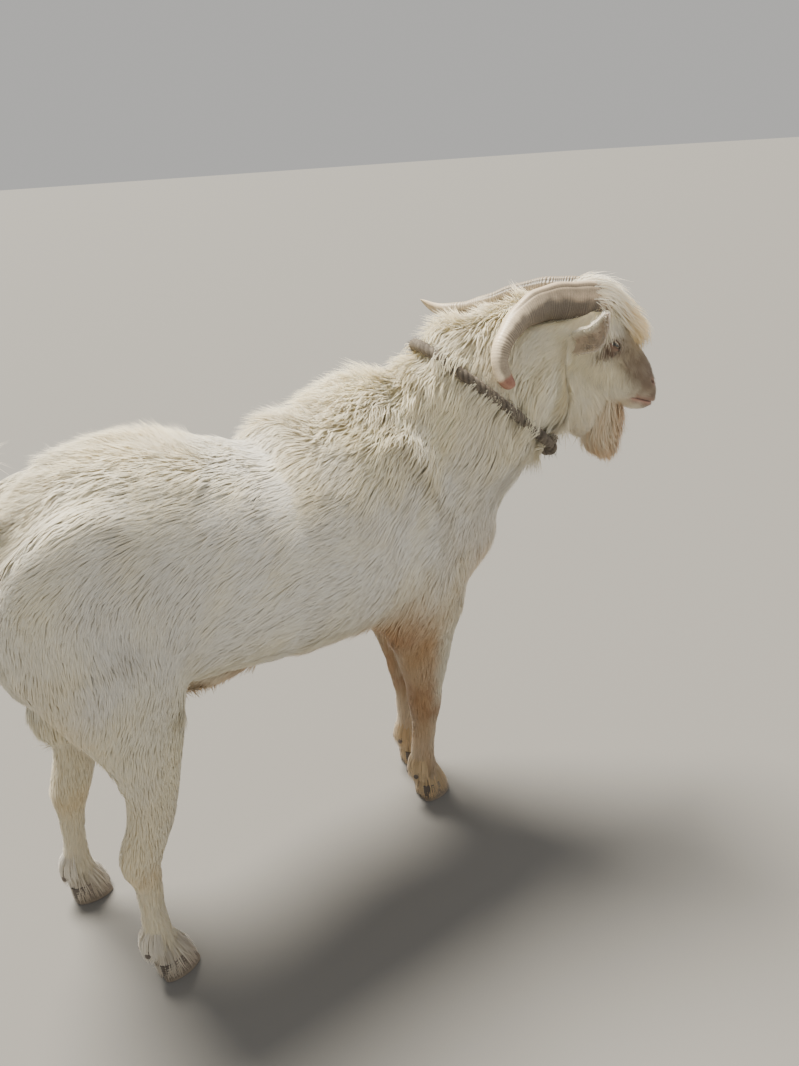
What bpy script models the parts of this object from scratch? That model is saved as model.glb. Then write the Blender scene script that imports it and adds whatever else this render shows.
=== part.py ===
"""A buck goat standing on four feet, head carried level and turned to its right, life size.

Places are worked out in the goat's own frame: metres forward of the mid-point between its
hind feet, metres to its right of the middle, and metres above the floor. at() turns them into
world coordinates: +X is the goat's left, the goat faces -Y, and +Z is up, with the origin on
the floor under the middle of the whole model.

The flesh and its coat are modelled whole, as overlapping closed forms that are fused, smoothed
and then parted into head, neck, trunk, tail and legs by thin flat cuts. Horns, ears, eyes,
claws, beard, forelock and the rope collar are pieces of their own that meet the coat.
"""

import math

import bmesh
import bpy
import numpy as np
from mathutils import Matrix, Vector
from mathutils.bvhtree import BVHTree

# Driving dimensions, in metres and degrees.
MIDDLE_FORWARD = 0.4092       # middle of the whole model, forward of the hind feet
MIDDLE_RIGHT = 0.0220         # and to the right of the spine
POLL_FORWARD = 0.790
POLL_RIGHT = 0.088
HEAD_TURN = 27.0              # heading of the head, to the right of the body's
GAP = 0.0006                  # width of a parting cut
CLEARANCE = 0.0004            # between pieces that touch
COAT_CLEARANCE = 0.0010       # between the coat and what stands on it
FUSE_VOXEL = 0.0075
FLESH_TRIANGLES = 3000
ROPE_RADIUS = 0.0085
ROPE_SINK = 0.4               # share of the rope's radius pressed into the coat
EYE_RADIUS = 0.0138
SOLE_LENGTH = 0.053
CLAW_WIDTH = 0.0210
CLAW_HEIGHT = 0.034
CLEFT = 0.0030                # gap between the two claws of a foot

COAT_WHITE = (0.86, 0.80, 0.70)
HORN_BROWN = (0.30, 0.24, 0.19)
CLAW_BROWN = (0.23, 0.17, 0.12)
EYE_AMBER = (0.20, 0.12, 0.05)
ROPE_GREY = (0.20, 0.17, 0.14)

# Trunk: forward, back line, belly line, half width. The back line runs over the raised hair.
TRUNK = [
    (-0.075, 0.590, 0.500, 0.045),
    (-0.054, 0.634, 0.450, 0.090),
    (-0.012, 0.674, 0.423, 0.120),
    (0.040, 0.717, 0.410, 0.134),
    (0.100, 0.735, 0.406, 0.138),
    (0.160, 0.735, 0.400, 0.139),
    (0.230, 0.710, 0.392, 0.144),
    (0.295, 0.679, 0.385, 0.149),
    (0.330, 0.701, 0.381, 0.146),
    (0.400, 0.735, 0.375, 0.138),
    (0.470, 0.751, 0.369, 0.127),
    (0.540, 0.739, 0.370, 0.113),
    (0.600, 0.695, 0.384, 0.098),
    (0.645, 0.635, 0.406, 0.073),
    (0.668, 0.560, 0.440, 0.038),
]

# Neck: forward, right, up, half depth, half width, from inside the chest to behind the jaw.
NECK = [
    (0.465, 0.000, 0.565, 0.160, 0.108),
    (0.557, 0.013, 0.611, 0.148, 0.102),
    (0.619, 0.033, 0.661, 0.133, 0.093),
    (0.686, 0.055, 0.702, 0.113, 0.080),
    (0.750, 0.077, 0.710, 0.103, 0.060),
]

# Head, in its own upright middle plane: along its heading from the poll, up, half depth,
# half width, from the back of the skull down to the lips.
HEAD = [
    (-0.050, 0.790, 0.040, 0.044),
    (-0.018, 0.775, 0.054, 0.052),
    (0.012, 0.746, 0.057, 0.054),
    (0.037, 0.714, 0.051, 0.047),
    (0.062, 0.690, 0.045, 0.039),
    (0.080, 0.669, 0.040, 0.032),
    (0.095, 0.652, 0.031, 0.029),
    (0.104, 0.642, 0.023, 0.025),
    (0.110, 0.634, 0.011, 0.014),
]

# Tail, carried up over the rump: forward, up, half depth, half width.
TAIL = [
    (-0.030, 0.640, 0.022, 0.020),
    (-0.058, 0.672, 0.026, 0.026),
    (-0.050, 0.708, 0.027, 0.029),
    (-0.030, 0.732, 0.022, 0.025),
    (-0.006, 0.746, 0.008, 0.010),
]

# Legs: forward, right, up, half length, half width, from inside the body down to the coronet.
HIND_RIGHT = [
    (0.050, 0.045, 0.610, 0.080, 0.045),
    (0.045, 0.082, 0.530, 0.105, 0.058),
    (0.051, 0.096, 0.450, 0.083, 0.051),
    (0.058, 0.101, 0.380, 0.055, 0.040),
    (0.057, 0.103, 0.320, 0.039, 0.031),
    (0.045, 0.103, 0.260, 0.031, 0.026),
    (0.022, 0.104, 0.212, 0.030, 0.024),
    (0.024, 0.104, 0.178, 0.0220, 0.0195),
    (0.021, 0.104, 0.120, 0.0190, 0.0170),
    (0.020, 0.103, 0.078, 0.0220, 0.0205),
    (0.029, 0.102, 0.048, 0.0225, 0.0215),
    (0.036, 0.101, 0.022, 0.0245, 0.0230),
]
HIND_LEFT = [
    (0.040, -0.045, 0.610, 0.080, 0.045),
    (0.026, -0.082, 0.530, 0.100, 0.058),
    (0.014, -0.095, 0.450, 0.083, 0.051),
    (0.008, -0.100, 0.380, 0.058, 0.041),
    (0.009, -0.101, 0.318, 0.041, 0.031),
    (0.000, -0.101, 0.256, 0.032, 0.026),
    (-0.021, -0.101, 0.200, 0.031, 0.024),
    (-0.027, -0.101, 0.164, 0.0225, 0.0195),
    (-0.034, -0.101, 0.112, 0.0190, 0.0170),
    (-0.039, -0.101, 0.072, 0.0220, 0.0205),
    (-0.033, -0.101, 0.046, 0.0220, 0.0215),
    (-0.029, -0.101, 0.022, 0.0240, 0.0230),
]
FRONT_RIGHT = [
    (0.500, 0.045, 0.540, 0.070, 0.040),
    (0.496, 0.072, 0.460, 0.080, 0.047),
    (0.496, 0.071, 0.385, 0.072, 0.042),
    (0.500, 0.062, 0.325, 0.054, 0.036),
    (0.505, 0.054, 0.270, 0.042, 0.031),
    (0.507, 0.048, 0.230, 0.033, 0.027),
    (0.507, 0.046, 0.195, 0.0300, 0.0265),
    (0.505, 0.045, 0.155, 0.0225, 0.0210),
    (0.500, 0.044, 0.112, 0.0210, 0.0195),
    (0.498, 0.043, 0.078, 0.0235, 0.0220),
    (0.508, 0.042, 0.048, 0.0225, 0.0220),
    (0.516, 0.042, 0.022, 0.0250, 0.0235),
]
FRONT_LEFT = [
    (0.510, -0.045, 0.540, 0.070, 0.040),
    (0.512, -0.072, 0.460, 0.080, 0.047),
    (0.520, -0.070, 0.385, 0.072, 0.042),
    (0.527, -0.060, 0.325, 0.058, 0.036),
    (0.529, -0.053, 0.270, 0.045, 0.031),
    (0.529, -0.048, 0.230, 0.034, 0.027),
    (0.530, -0.046, 0.195, 0.0300, 0.0265),
    (0.530, -0.045, 0.155, 0.0225, 0.0210),
    (0.529, -0.045, 0.112, 0.0210, 0.0195),
    (0.528, -0.044, 0.078, 0.0235, 0.0220),
    (0.535, -0.044, 0.048, 0.0225, 0.0220),
    (0.542, -0.044, 0.022, 0.0250, 0.0235),
]
LEGS = {
    "hind_right": HIND_RIGHT,
    "hind_left": HIND_LEFT,
    "front_right": FRONT_RIGHT,
    "front_left": FRONT_LEFT,
}
TOE_OUT = {"hind_right": 9.0, "hind_left": -4.0, "front_right": 4.0, "front_left": -4.0}

# Swellings of shoulder, haunch, nape, throat and belly: forward, right, up, then half sizes forward, right, up.
SWELLINGS = [
    (0.455, 0.092, 0.550, 0.105, 0.040, 0.140),
    (0.455, -0.092, 0.550, 0.105, 0.040, 0.140),
    (0.062, 0.092, 0.565, 0.125, 0.044, 0.125),
    (0.052, -0.092, 0.565, 0.125, 0.044, 0.125),
    (0.590, 0.030, 0.752, 0.052, 0.050, 0.056),
    (0.792, 0.090, 0.640, 0.036, 0.030, 0.054),
    (0.195, 0.000, 0.385, 0.075, 0.030, 0.034),
    (-0.020, 0.000, 0.405, 0.032, 0.036, 0.055),
]

# Beard and forelock, in the head's plane as HEAD: along, up, half depth, half width.
BEARD = [
    (0.046, 0.650, 0.036, 0.024),
    (0.038, 0.616, 0.041, 0.024),
    (0.038, 0.590, 0.037, 0.020),
    (0.047, 0.566, 0.020, 0.013),
    (0.048, 0.550, 0.005, 0.004),
]
FORELOCK = [
    (-0.006, 0.814, 0.022, 0.022),
    (0.026, 0.804, 0.026, 0.036),
    (0.058, 0.769, 0.022, 0.038),
    (0.082, 0.746, 0.022, 0.030),
    (0.090, 0.727, 0.009, 0.010),
]

# Horns: along, up, right of the head's middle, half depth, half width, from root to tip.
HORN_RIGHT = [
    (0.020, 0.786, 0.020, 0.0280, 0.0165),
    (0.003, 0.798, 0.024, 0.0285, 0.0170),
    (-0.028, 0.803, 0.031, 0.0270, 0.0165),
    (-0.057, 0.806, 0.042, 0.0250, 0.0155),
    (-0.088, 0.804, 0.060, 0.0215, 0.0140),
    (-0.117, 0.794, 0.085, 0.0160, 0.0125),
    (-0.141, 0.774, 0.110, 0.0125, 0.0110),
    (-0.150, 0.757, 0.122, 0.0115, 0.0105),
    (-0.150, 0.741, 0.128, 0.0110, 0.0100),
    (-0.143, 0.725, 0.130, 0.0100, 0.0095),
    (-0.132, 0.717, 0.130, 0.0060, 0.0060),
]
HORN_LEFT = [
    (0.018, 0.786, -0.018, 0.0280, 0.0165),
    (0.000, 0.798, -0.024, 0.0285, 0.0170),
    (-0.033, 0.804, -0.036, 0.0250, 0.0160),
    (-0.064, 0.804, -0.050, 0.0200, 0.0145),
    (-0.091, 0.801, -0.062, 0.0150, 0.0130),
    (-0.119, 0.793, -0.074, 0.0125, 0.0115),
    (-0.148, 0.785, -0.086, 0.0112, 0.0105),
    (-0.177, 0.783, -0.096, 0.0098, 0.0092),
    (-0.199, 0.787, -0.102, 0.0075, 0.0070),
    (-0.221, 0.801, -0.105, 0.0015, 0.0015),
]

# Ear: along, up, outward of the head's middle, half width, half thickness, from root to tip.
EAR = [
    (-0.030, 0.743, 0.036, 0.0140, 0.0080),
    (-0.022, 0.748, 0.052, 0.0175, 0.0060),
    (-0.015, 0.755, 0.070, 0.0185, 0.0046),
    (-0.011, 0.764, 0.090, 0.0165, 0.0040),
    (-0.007, 0.780, 0.107, 0.0115, 0.0034),
    (-0.006, 0.800, 0.120, 0.0035, 0.0022),
]
EAR_CUP = 0.009
EYE_PLACE = (0.031, 0.740, 0.0425)   # along, up, outward of the head's middle

# Rope collar: a point of its plane and the plane's normal.
COLLAR_CENTRE = (0.634, 0.050, 0.683)
COLLAR_NORMAL = (0.643, 0.158, 0.748)
KNOT_PLACE = (0.724, 0.094, 0.598)
KNOT_SIZE = (0.017, 0.014, 0.019)


def at(forward, right, up):
    """World place of a point given in the goat's own frame."""
    return Vector((MIDDLE_RIGHT - right, MIDDLE_FORWARD - forward, up))


def head_at(along, up, right=0.0):
    """World place of a point given in the turned head's frame."""
    turn = math.radians(HEAD_TURN)
    forward = POLL_FORWARD + along * math.cos(turn) - right * math.sin(turn)
    side = POLL_RIGHT + along * math.sin(turn) + right * math.cos(turn)
    return at(forward, side, up)


def direction(forward, right, up):
    return (at(forward, right, up) - at(0, 0, 0)).normalized()


def material(name, colour, roughness):
    made = bpy.data.materials.new(name)
    made.use_nodes = True
    shader = made.node_tree.nodes["Principled BSDF"]
    shader.inputs["Base Color"].default_value = (*colour, 1.0)
    shader.inputs["Roughness"].default_value = roughness
    shader.inputs["Metallic"].default_value = 0.0
    return made


def smooth_rows(rows, count):
    """Rows of numbers resampled at count places along a Catmull-Rom curve through them."""
    rows = np.array(rows, float)
    ends = [2 * rows[0] - rows[1]], rows, [2 * rows[-1] - rows[-2]]
    padded = np.concatenate(ends)
    place = np.linspace(0, len(rows) - 1, count)
    index = np.minimum(place.astype(int), len(rows) - 2)
    t = (place - index)[:, None]
    a, b, c, d = (padded[index + k] for k in range(4))
    return 0.5 * (2 * b + (c - a) * t + (2 * a - 5 * b + 4 * c - d) * t**2 + (3 * b - a - 3 * c + d) * t**3)


def mesh_object(name, bm, collection):
    """An object from a bmesh, in triangles, so that a grown copy bends along the same edges."""
    bmesh.ops.triangulate(bm, faces=bm.faces)
    mesh = bpy.data.meshes.new(name)
    bm.to_mesh(mesh)
    bm.free()
    made = bpy.data.objects.new(name, mesh)
    collection.objects.link(made)
    return made


def loft(name, centres, depths, widths, side, sides, collection, power=2.3, egg=0.0, cup=0.0):
    """Closed skin through oval sections that stand square to the path of their centres.

    side is the direction of a section's width. power above 2 squares the oval off, egg narrows
    its upper side, and cup bends a flat section into a trough.
    """
    centres = np.array(centres, float)
    along = np.gradient(centres, axis=0)
    along /= np.linalg.norm(along, axis=1)[:, None]
    side = np.array(side, float)
    across = side - (along @ side)[:, None] * along
    across /= np.linalg.norm(across, axis=1)[:, None]
    deep = np.cross(along, across)
    deep *= np.sign(deep[:, 2].sum() or 1.0)
    angle = np.arange(sides) * 2 * math.pi / sides
    wide = np.sign(np.cos(angle)) * np.abs(np.cos(angle)) ** (2 / power)
    high = np.sign(np.sin(angle)) * np.abs(np.sin(angle)) ** (2 / power)
    wide = wide * (1 - egg * high)
    bm = bmesh.new()
    rings = []
    for k, centre in enumerate(centres):
        offset_high = depths[k] * high + cup * (wide**2 - 0.5) * min(1.0, widths[k] / cup if cup else 1.0)
        ring = centre + np.outer(widths[k] * wide, across[k]) + np.outer(offset_high, deep[k])
        rings.append([bm.verts.new(point) for point in ring])
    for low, top in zip(rings, rings[1:]):
        for k in range(sides):
            bm.faces.new((low[k], low[(k + 1) % sides], top[(k + 1) % sides], top[k]))
    bm.faces.new(rings[0])
    bm.faces.new(rings[-1])
    bmesh.ops.recalc_face_normals(bm, faces=bm.faces)
    return mesh_object(name, bm, collection)


def ellipsoid(name, centre, radii, collection, segments=20, rings=12):
    """A ball stretched along world X, Y and Z."""
    bm = bmesh.new()
    bmesh.ops.create_uvsphere(bm, u_segments=segments, v_segments=rings, radius=1.0)
    bmesh.ops.scale(bm, vec=radii, verts=bm.verts)
    bmesh.ops.translate(bm, vec=centre, verts=bm.verts)
    return mesh_object(name, bm, collection)


def evaluated(obj):
    """The object's mesh with its modifiers in it, as a new mesh."""
    bpy.context.view_layer.update()
    return bpy.data.meshes.new_from_object(obj.evaluated_get(bpy.context.evaluated_depsgraph_get()))


def settle(obj):
    """Keep what the modifiers made as the object's own mesh."""
    made = evaluated(obj)
    old = obj.data
    obj.modifiers.clear()
    obj.data = made
    bpy.data.meshes.remove(old)


def cut(obj, tool, operation):
    modifier = obj.modifiers.new(operation.lower(), "BOOLEAN")
    modifier.operation = operation
    modifier.solver = "EXACT"
    modifier.object = tool
    settle(obj)


def copy_of(obj, name, collection):
    made = bpy.data.objects.new(name, obj.data.copy())
    collection.objects.link(made)
    return made


def grown(obj, amount, collection):
    """A copy of the object whose surface stands out by amount."""
    made = copy_of(obj, obj.name + "_grown", collection)
    push = made.modifiers.new("push", "DISPLACE")
    push.strength = amount
    push.mid_level = 0.0
    settle(made)
    return made


def flesh_form(name, stations, count, sides, collection, place=at, egg=0.0):
    """Loft of (forward, right, up, half depth, half width) stations, or of the head's kind."""
    rows = smooth_rows(stations, count)
    centres = [place(*row[:3]) for row in rows]
    across = place(0, 0, 0) - place(0, 1, 0) if place is at else head_at(0, 0, 0) - head_at(0, 0, 1)
    return loft(name, centres, rows[:, 3], rows[:, 4], across, sides, collection, egg=egg)


def in_head_plane(stations):
    """(along, up, depth, width) stations as (along, up, right, depth, width) ones."""
    return [(along, up, 0.0, depth, width) for along, up, depth, width in stations]


def trunk_form(collection):
    rows = [(f, 0.0, (top + low) / 2, (top - low) / 2, wide) for f, top, low, wide in TRUNK]
    rows = smooth_rows(rows, 44)
    bm = bmesh.new()
    sides = 32
    angle = np.arange(sides) * 2 * math.pi / sides
    wide = np.sign(np.cos(angle)) * np.abs(np.cos(angle)) ** 0.88
    high = np.sign(np.sin(angle)) * np.abs(np.sin(angle)) ** 0.92
    wide = wide * (1 - 0.14 * high)
    rings = []
    for forward, right, up, half_height, half_width in rows:
        places = [at(forward, right + half_width * w, up + half_height * h) for w, h in zip(wide, high)]
        rings.append([bm.verts.new(place) for place in places])
    for low, top in zip(rings, rings[1:]):
        for k in range(sides):
            bm.faces.new((low[k], low[(k + 1) % sides], top[(k + 1) % sides], top[k]))
    bm.faces.new(rings[0])
    bm.faces.new(rings[-1])
    bmesh.ops.recalc_face_normals(bm, faces=bm.faces)
    return mesh_object("trunk_form", bm, collection)


def tail_form(collection):
    rows = [(forward, 0.0, up, deep, wide) for forward, up, deep, wide in TAIL]
    return flesh_form("tail_form", rows, 12, 14, collection)


def fuse(forms, collection):
    """One closed skin round overlapping closed forms, smoothed and thinned out."""
    bm = bmesh.new()
    for form in forms:
        bm.from_mesh(form.data)
        bpy.data.objects.remove(form)
    body = mesh_object("body", bm, collection)
    remesh = body.modifiers.new("fuse", "REMESH")
    remesh.mode = "VOXEL"
    remesh.voxel_size = FUSE_VOXEL
    ease = body.modifiers.new("ease", "SMOOTH")
    ease.factor = 0.5
    ease.iterations = 6
    settle(body)
    faces = sum(len(polygon.vertices) - 2 for polygon in body.data.polygons)
    thin = body.modifiers.new("thin", "DECIMATE")
    thin.ratio = FLESH_TRIANGLES / faces
    settle(body)
    return body


def region(name, centre, size, turns, collection):
    """A box that marks off one part of the body, turned about X, Y and Z in degrees."""
    turn = Matrix.Rotation(math.radians(turns[2]), 4, "Z") @ Matrix.Rotation(math.radians(turns[1]), 4, "Y")
    turn = turn @ Matrix.Rotation(math.radians(turns[0]), 4, "X")
    bm = bmesh.new()
    bmesh.ops.create_cube(bm, size=1.0)
    bmesh.ops.scale(bm, vec=size, verts=bm.verts)
    bmesh.ops.transform(bm, matrix=Matrix.Translation(centre) @ turn, verts=bm.verts)
    return mesh_object(name, bm, collection)


def part_off(body, name, box, parts, cutters):
    """Move what lies in the box into a node of its own, a cut's width away from the rest."""
    piece = copy_of(body, name, parts)
    cut(piece, box, "INTERSECT")
    wider = grown(box, GAP, cutters)
    cut(body, wider, "DIFFERENCE")
    return piece


def clear_scene():
    for obj in list(bpy.data.objects):
        bpy.data.objects.remove(obj)


def collection_named(name):
    made = bpy.data.collections.new(name)
    bpy.context.scene.collection.children.link(made)
    return made


def horn(name, stations, parts):
    rows = smooth_rows(stations, 19)
    centres = [head_at(along, up, right) for along, up, right, deep, wide in rows]
    across = head_at(0, 0, 0) - head_at(0, 0, 1)
    return loft(name, centres, rows[:, 3], rows[:, 4], across, 10, parts, power=2.2)


def ear(name, side, parts):
    """A leaf rolled into a trough that opens forward; side is 1 on the right and -1 on the left."""
    rows = smooth_rows(EAR, 9)
    centres = [head_at(along, up, side * out) for along, up, out, wide, thick in rows]
    blade = direction(0.30, 0.0, -0.95)
    return loft(name, centres, rows[:, 4], rows[:, 3], blade, 10, parts, power=2.0, cup=-side * EAR_CUP)


def claw(name, centre, heading, side, parts):
    """Half a cloven hoof: a flat sole, a sloping toe and a wall that narrows upwards."""
    forward = Matrix.Rotation(math.radians(heading), 3, "Z") @ Vector((0, -1, 0))
    across = Vector((-forward.y, forward.x, 0))
    middle = Vector((centre.x, centre.y, 0)) + across * side * (CLAW_WIDTH + CLEFT) / 2
    levels = [(0.0, 1.0, 0.0), (0.25, 1.0, -0.02), (0.65, 0.92, -0.08), (1.0, 0.78, -0.15)]
    sides = 10
    bm = bmesh.new()
    rings = []
    for height, scale, lean in levels:
        ring = []
        for k in range(sides):
            angle = 2 * math.pi * k / sides
            reach = math.cos(angle)
            spread = math.sin(angle) * (1 - 0.28 * max(0.0, reach) ** 2)
            place = middle + forward * SOLE_LENGTH * (0.5 * reach * scale + lean)
            place += across * CLAW_WIDTH * 0.5 * spread * scale
            ring.append(bm.verts.new(place + Vector((0, 0, CLAW_HEIGHT * height))))
        rings.append(ring)
    for low, top in zip(rings, rings[1:]):
        for k in range(sides):
            bm.faces.new((low[k], low[(k + 1) % sides], top[(k + 1) % sides], top[k]))
    bm.faces.new(rings[0])
    bm.faces.new(rings[-1])
    bmesh.ops.recalc_face_normals(bm, faces=bm.faces)
    return mesh_object(name, bm, parts)


def dewclaw(name, stations, heading, side, parts):
    """A blunt knob of horn behind and to one side of the pastern."""
    forward, right, up = stations[-3][:3]
    back = Matrix.Rotation(math.radians(heading), 3, "Z") @ Vector((0, 1, 0))
    across = Vector((back.y, -back.x, 0))
    centre = at(forward, right, up - 0.014) + back * 0.0185 + across * side * 0.0090
    return ellipsoid(name, centre, (0.0060, 0.0070, 0.0085), parts, 7, 5)


def collar_path(tree, count):
    """Points round the neck in the collar's plane, just sunk into the coat, evenly eased."""
    centre = at(*COLLAR_CENTRE)
    normal = direction(*COLLAR_NORMAL)
    first = direction(0, 1, 0)
    first = (first - normal * first.dot(normal)).normalized()
    second = normal.cross(first)
    reach = []
    rays = []
    for k in range(count):
        angle = 2 * math.pi * k / count
        ray = first * math.cos(angle) + second * math.sin(angle)
        far = centre + ray
        hit = tree.ray_cast(far, -ray)[0]
        rays.append(ray)
        reach.append((hit - centre).length)
    reach = np.array(reach)
    for _ in range(3):
        reach = (np.roll(reach, 1) + 2 * reach + np.roll(reach, -1)) / 4
    out = ROPE_RADIUS * (1 - ROPE_SINK)
    return [centre + ray * float(far + out) for ray, far in zip(rays, reach)]


def collar(tree, parts):
    path = collar_path(tree, 30)
    normal = direction(*COLLAR_NORMAL)
    middle = sum(path, Vector()) / len(path)
    sides = 5
    bm = bmesh.new()
    rings = []
    for k, point in enumerate(path):
        run = (path[(k + 1) % len(path)] - path[k - 1]).normalized()
        lift = run.cross(normal).normalized()
        if lift.dot(point - middle) < 0:
            lift = -lift
        ring = []
        for j in range(sides):
            angle = 2 * math.pi * j / sides
            ring.append(bm.verts.new(point + (lift * math.cos(angle) + normal * math.sin(angle)) * ROPE_RADIUS))
        rings.append(ring)
    for low, top in zip(rings, rings[1:] + rings[:1]):
        for j in range(sides):
            bm.faces.new((low[j], low[(j + 1) % sides], top[(j + 1) % sides], top[j]))
    bmesh.ops.recalc_face_normals(bm, faces=bm.faces)
    return mesh_object("collar", bm, parts)


def knot(parts):
    size = KNOT_SIZE
    return ellipsoid("collar_knot", at(*KNOT_PLACE), size, parts, 10, 6)


def soft_tuft(name, stations, parts):
    """Solid of a hanging or brushed lock of the head's long hair, in the head's plane."""
    return flesh_form(name, in_head_plane(stations), 8, 9, parts, place=head_at)


# Regions that part the body. A box: centre (forward, right, up), size along world X, Y and Z,
# and its turns about X, Y and Z in degrees. A leg's prism: where it starts and ends forward,
# its inner edge, and the heights of its sloping top at that edge and at OUTSIDE.
OUTSIDE = 0.22
BOXES = {
    "tail": ((-0.070, 0.000, 0.760), (0.20, 0.20, 0.16), (-38.0, 0.0, 0.0)),
    "head": ((0.930, 0.150, 0.690), (0.40, 0.36, 0.60), (-14.0, 0.0, -27.0)),
    "neck": ((0.795, 0.080, 0.815), (0.60, 0.60, 0.80), (-38.0, 0.0, -8.0)),
}
LEG_PRISMS = {
    "leg_front_right": (1, 0.405, 0.620, 0.004, 0.350, 0.480),
    "leg_front_left": (-1, 0.415, 0.635, 0.004, 0.350, 0.480),
    "leg_hind_right": (1, -0.120, 0.152, 0.032, 0.345, 0.600),
    "leg_hind_left": (-1, -0.120, 0.130, 0.032, 0.345, 0.600),
}


def prism(name, side, start, end, inner, inner_top, outer_top, collection):
    """A leg's region, drawn as a four-sided outline across the body and carried forward."""
    outline = [(inner, -0.05), (inner, inner_top), (OUTSIDE, outer_top), (OUTSIDE, -0.05)]
    bm = bmesh.new()
    face = bm.faces.new([bm.verts.new(at(start, side * right, up)) for right, up in outline])
    swept = bmesh.ops.extrude_face_region(bm, geom=[face])
    ahead = [item for item in swept["geom"] if isinstance(item, bmesh.types.BMVert)]
    bmesh.ops.translate(bm, vec=at(end, 0, 0) - at(start, 0, 0), verts=ahead)
    bmesh.ops.recalc_face_normals(bm, faces=bm.faces)
    return mesh_object(name, bm, collection)


def flesh_nodes(body, parts, cutters):
    """Part the fused body into its named nodes; what is left is the trunk."""
    nodes = {}
    for name, (centre, size, turns) in BOXES.items():
        box = region(name + "_region", at(*centre), size, turns, cutters)
        nodes[name] = part_off(body, name, box, parts, cutters)
    for name, shape in LEG_PRISMS.items():
        box = prism(name + "_region", *shape, cutters)
        nodes[name] = part_off(body, name, box, parts, cutters)
    nodes["trunk"] = copy_of(body, "trunk", parts)
    return nodes


def build():
    clear_scene()
    parts = collection_named("goat")
    cutters = collection_named("cutters")
    cutters.hide_render = True

    forms = [
        trunk_form(cutters),
        flesh_form("neck_form", NECK, 20, 28, cutters, egg=0.10),
        flesh_form("head_form", in_head_plane(HEAD), 26, 24, cutters, place=head_at),
        tail_form(cutters),
    ]
    for name, stations in LEGS.items():
        forms.append(flesh_form(name + "_form", stations, 40, 18, cutters))
    for forward, right, up, long, wide, high in SWELLINGS:
        forms.append(ellipsoid("swelling", at(forward, right, up), (wide, long, high), cutters))
    body = fuse(forms, cutters)
    coat = grown(body, COAT_CLEARANCE, cutters)
    tree = BVHTree.FromObject(body, bpy.context.evaluated_depsgraph_get())

    coat_white = material("coat_white", COAT_WHITE, 0.85)
    horn_brown = material("horn_brown", HORN_BROWN, 0.55)
    claw_brown = material("claw_brown", CLAW_BROWN, 0.60)
    eye_amber = material("eye_amber", EYE_AMBER, 0.10)
    rope_grey = material("rope_grey", ROPE_GREY, 0.90)

    rope = collar(tree, parts)
    tie = knot(parts)
    nodes = flesh_nodes(body, parts, cutters)
    finish = {node: coat_white for node in nodes.values()}
    finish[rope] = rope_grey
    finish[tie] = rope_grey

    rope_space = grown(rope, CLEARANCE, cutters)
    knot_space = grown(tie, CLEARANCE, cutters)
    cut(tie, rope_space, "DIFFERENCE")
    cut(nodes["neck"], rope_space, "DIFFERENCE")
    cut(nodes["neck"], knot_space, "DIFFERENCE")

    beard = soft_tuft("beard", BEARD, parts)
    forelock = soft_tuft("forelock", FORELOCK, parts)
    for side, word in ((1, "right"), (-1, "left")):
        along, up, out = EYE_PLACE
        eye = ellipsoid("eye_" + word, head_at(along, up, side * out), (EYE_RADIUS,) * 3, parts, 12, 7)
        finish[eye] = eye_amber
        socket = grown(eye, CLEARANCE, cutters)
        cut(nodes["head"], socket, "DIFFERENCE")
        leaf = ear("ear_" + word, side, parts)
        cut(leaf, coat, "DIFFERENCE")
        finish[leaf] = coat_white
        curl = horn("horn_" + word, HORN_RIGHT if side > 0 else HORN_LEFT, parts)
        finish[curl] = horn_brown
        space = grown(curl, CLEARANCE, cutters)
        cut(nodes["head"], space, "DIFFERENCE")
        cut(nodes["neck"], space, "DIFFERENCE")
        cut(forelock, space, "DIFFERENCE")

    for lock in (beard, forelock):
        cut(lock, coat, "DIFFERENCE")
        finish[lock] = coat_white

    for name, stations in LEGS.items():
        forward, right = stations[-1][:2]
        coronet = at(forward, right, 0.0)
        for side, word in ((1, "outer"), (-1, "inner")):
            away = -side if right > 0 else side
            nail = claw("claw_" + name + "_" + word, coronet, TOE_OUT[name], away, parts)
            spur = dewclaw("dewclaw_" + name + "_" + word, stations, TOE_OUT[name], away, parts)
            for hard in (nail, spur):
                cut(hard, coat, "DIFFERENCE")
                finish[hard] = claw_brown

    for node, look in finish.items():
        node.data.materials.clear()
        node.data.materials.append(look)
        node.data.shade_smooth()
        node.data.set_sharp_from_angle(angle=math.radians(50))
    for helper in list(cutters.objects):
        bpy.data.objects.remove(helper)
    bpy.data.collections.remove(cutters)


build()
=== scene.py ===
import math

import bmesh
import bpy
import numpy as np
from mathutils import Matrix, Vector
from mathutils.kdtree import KDTree


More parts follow.
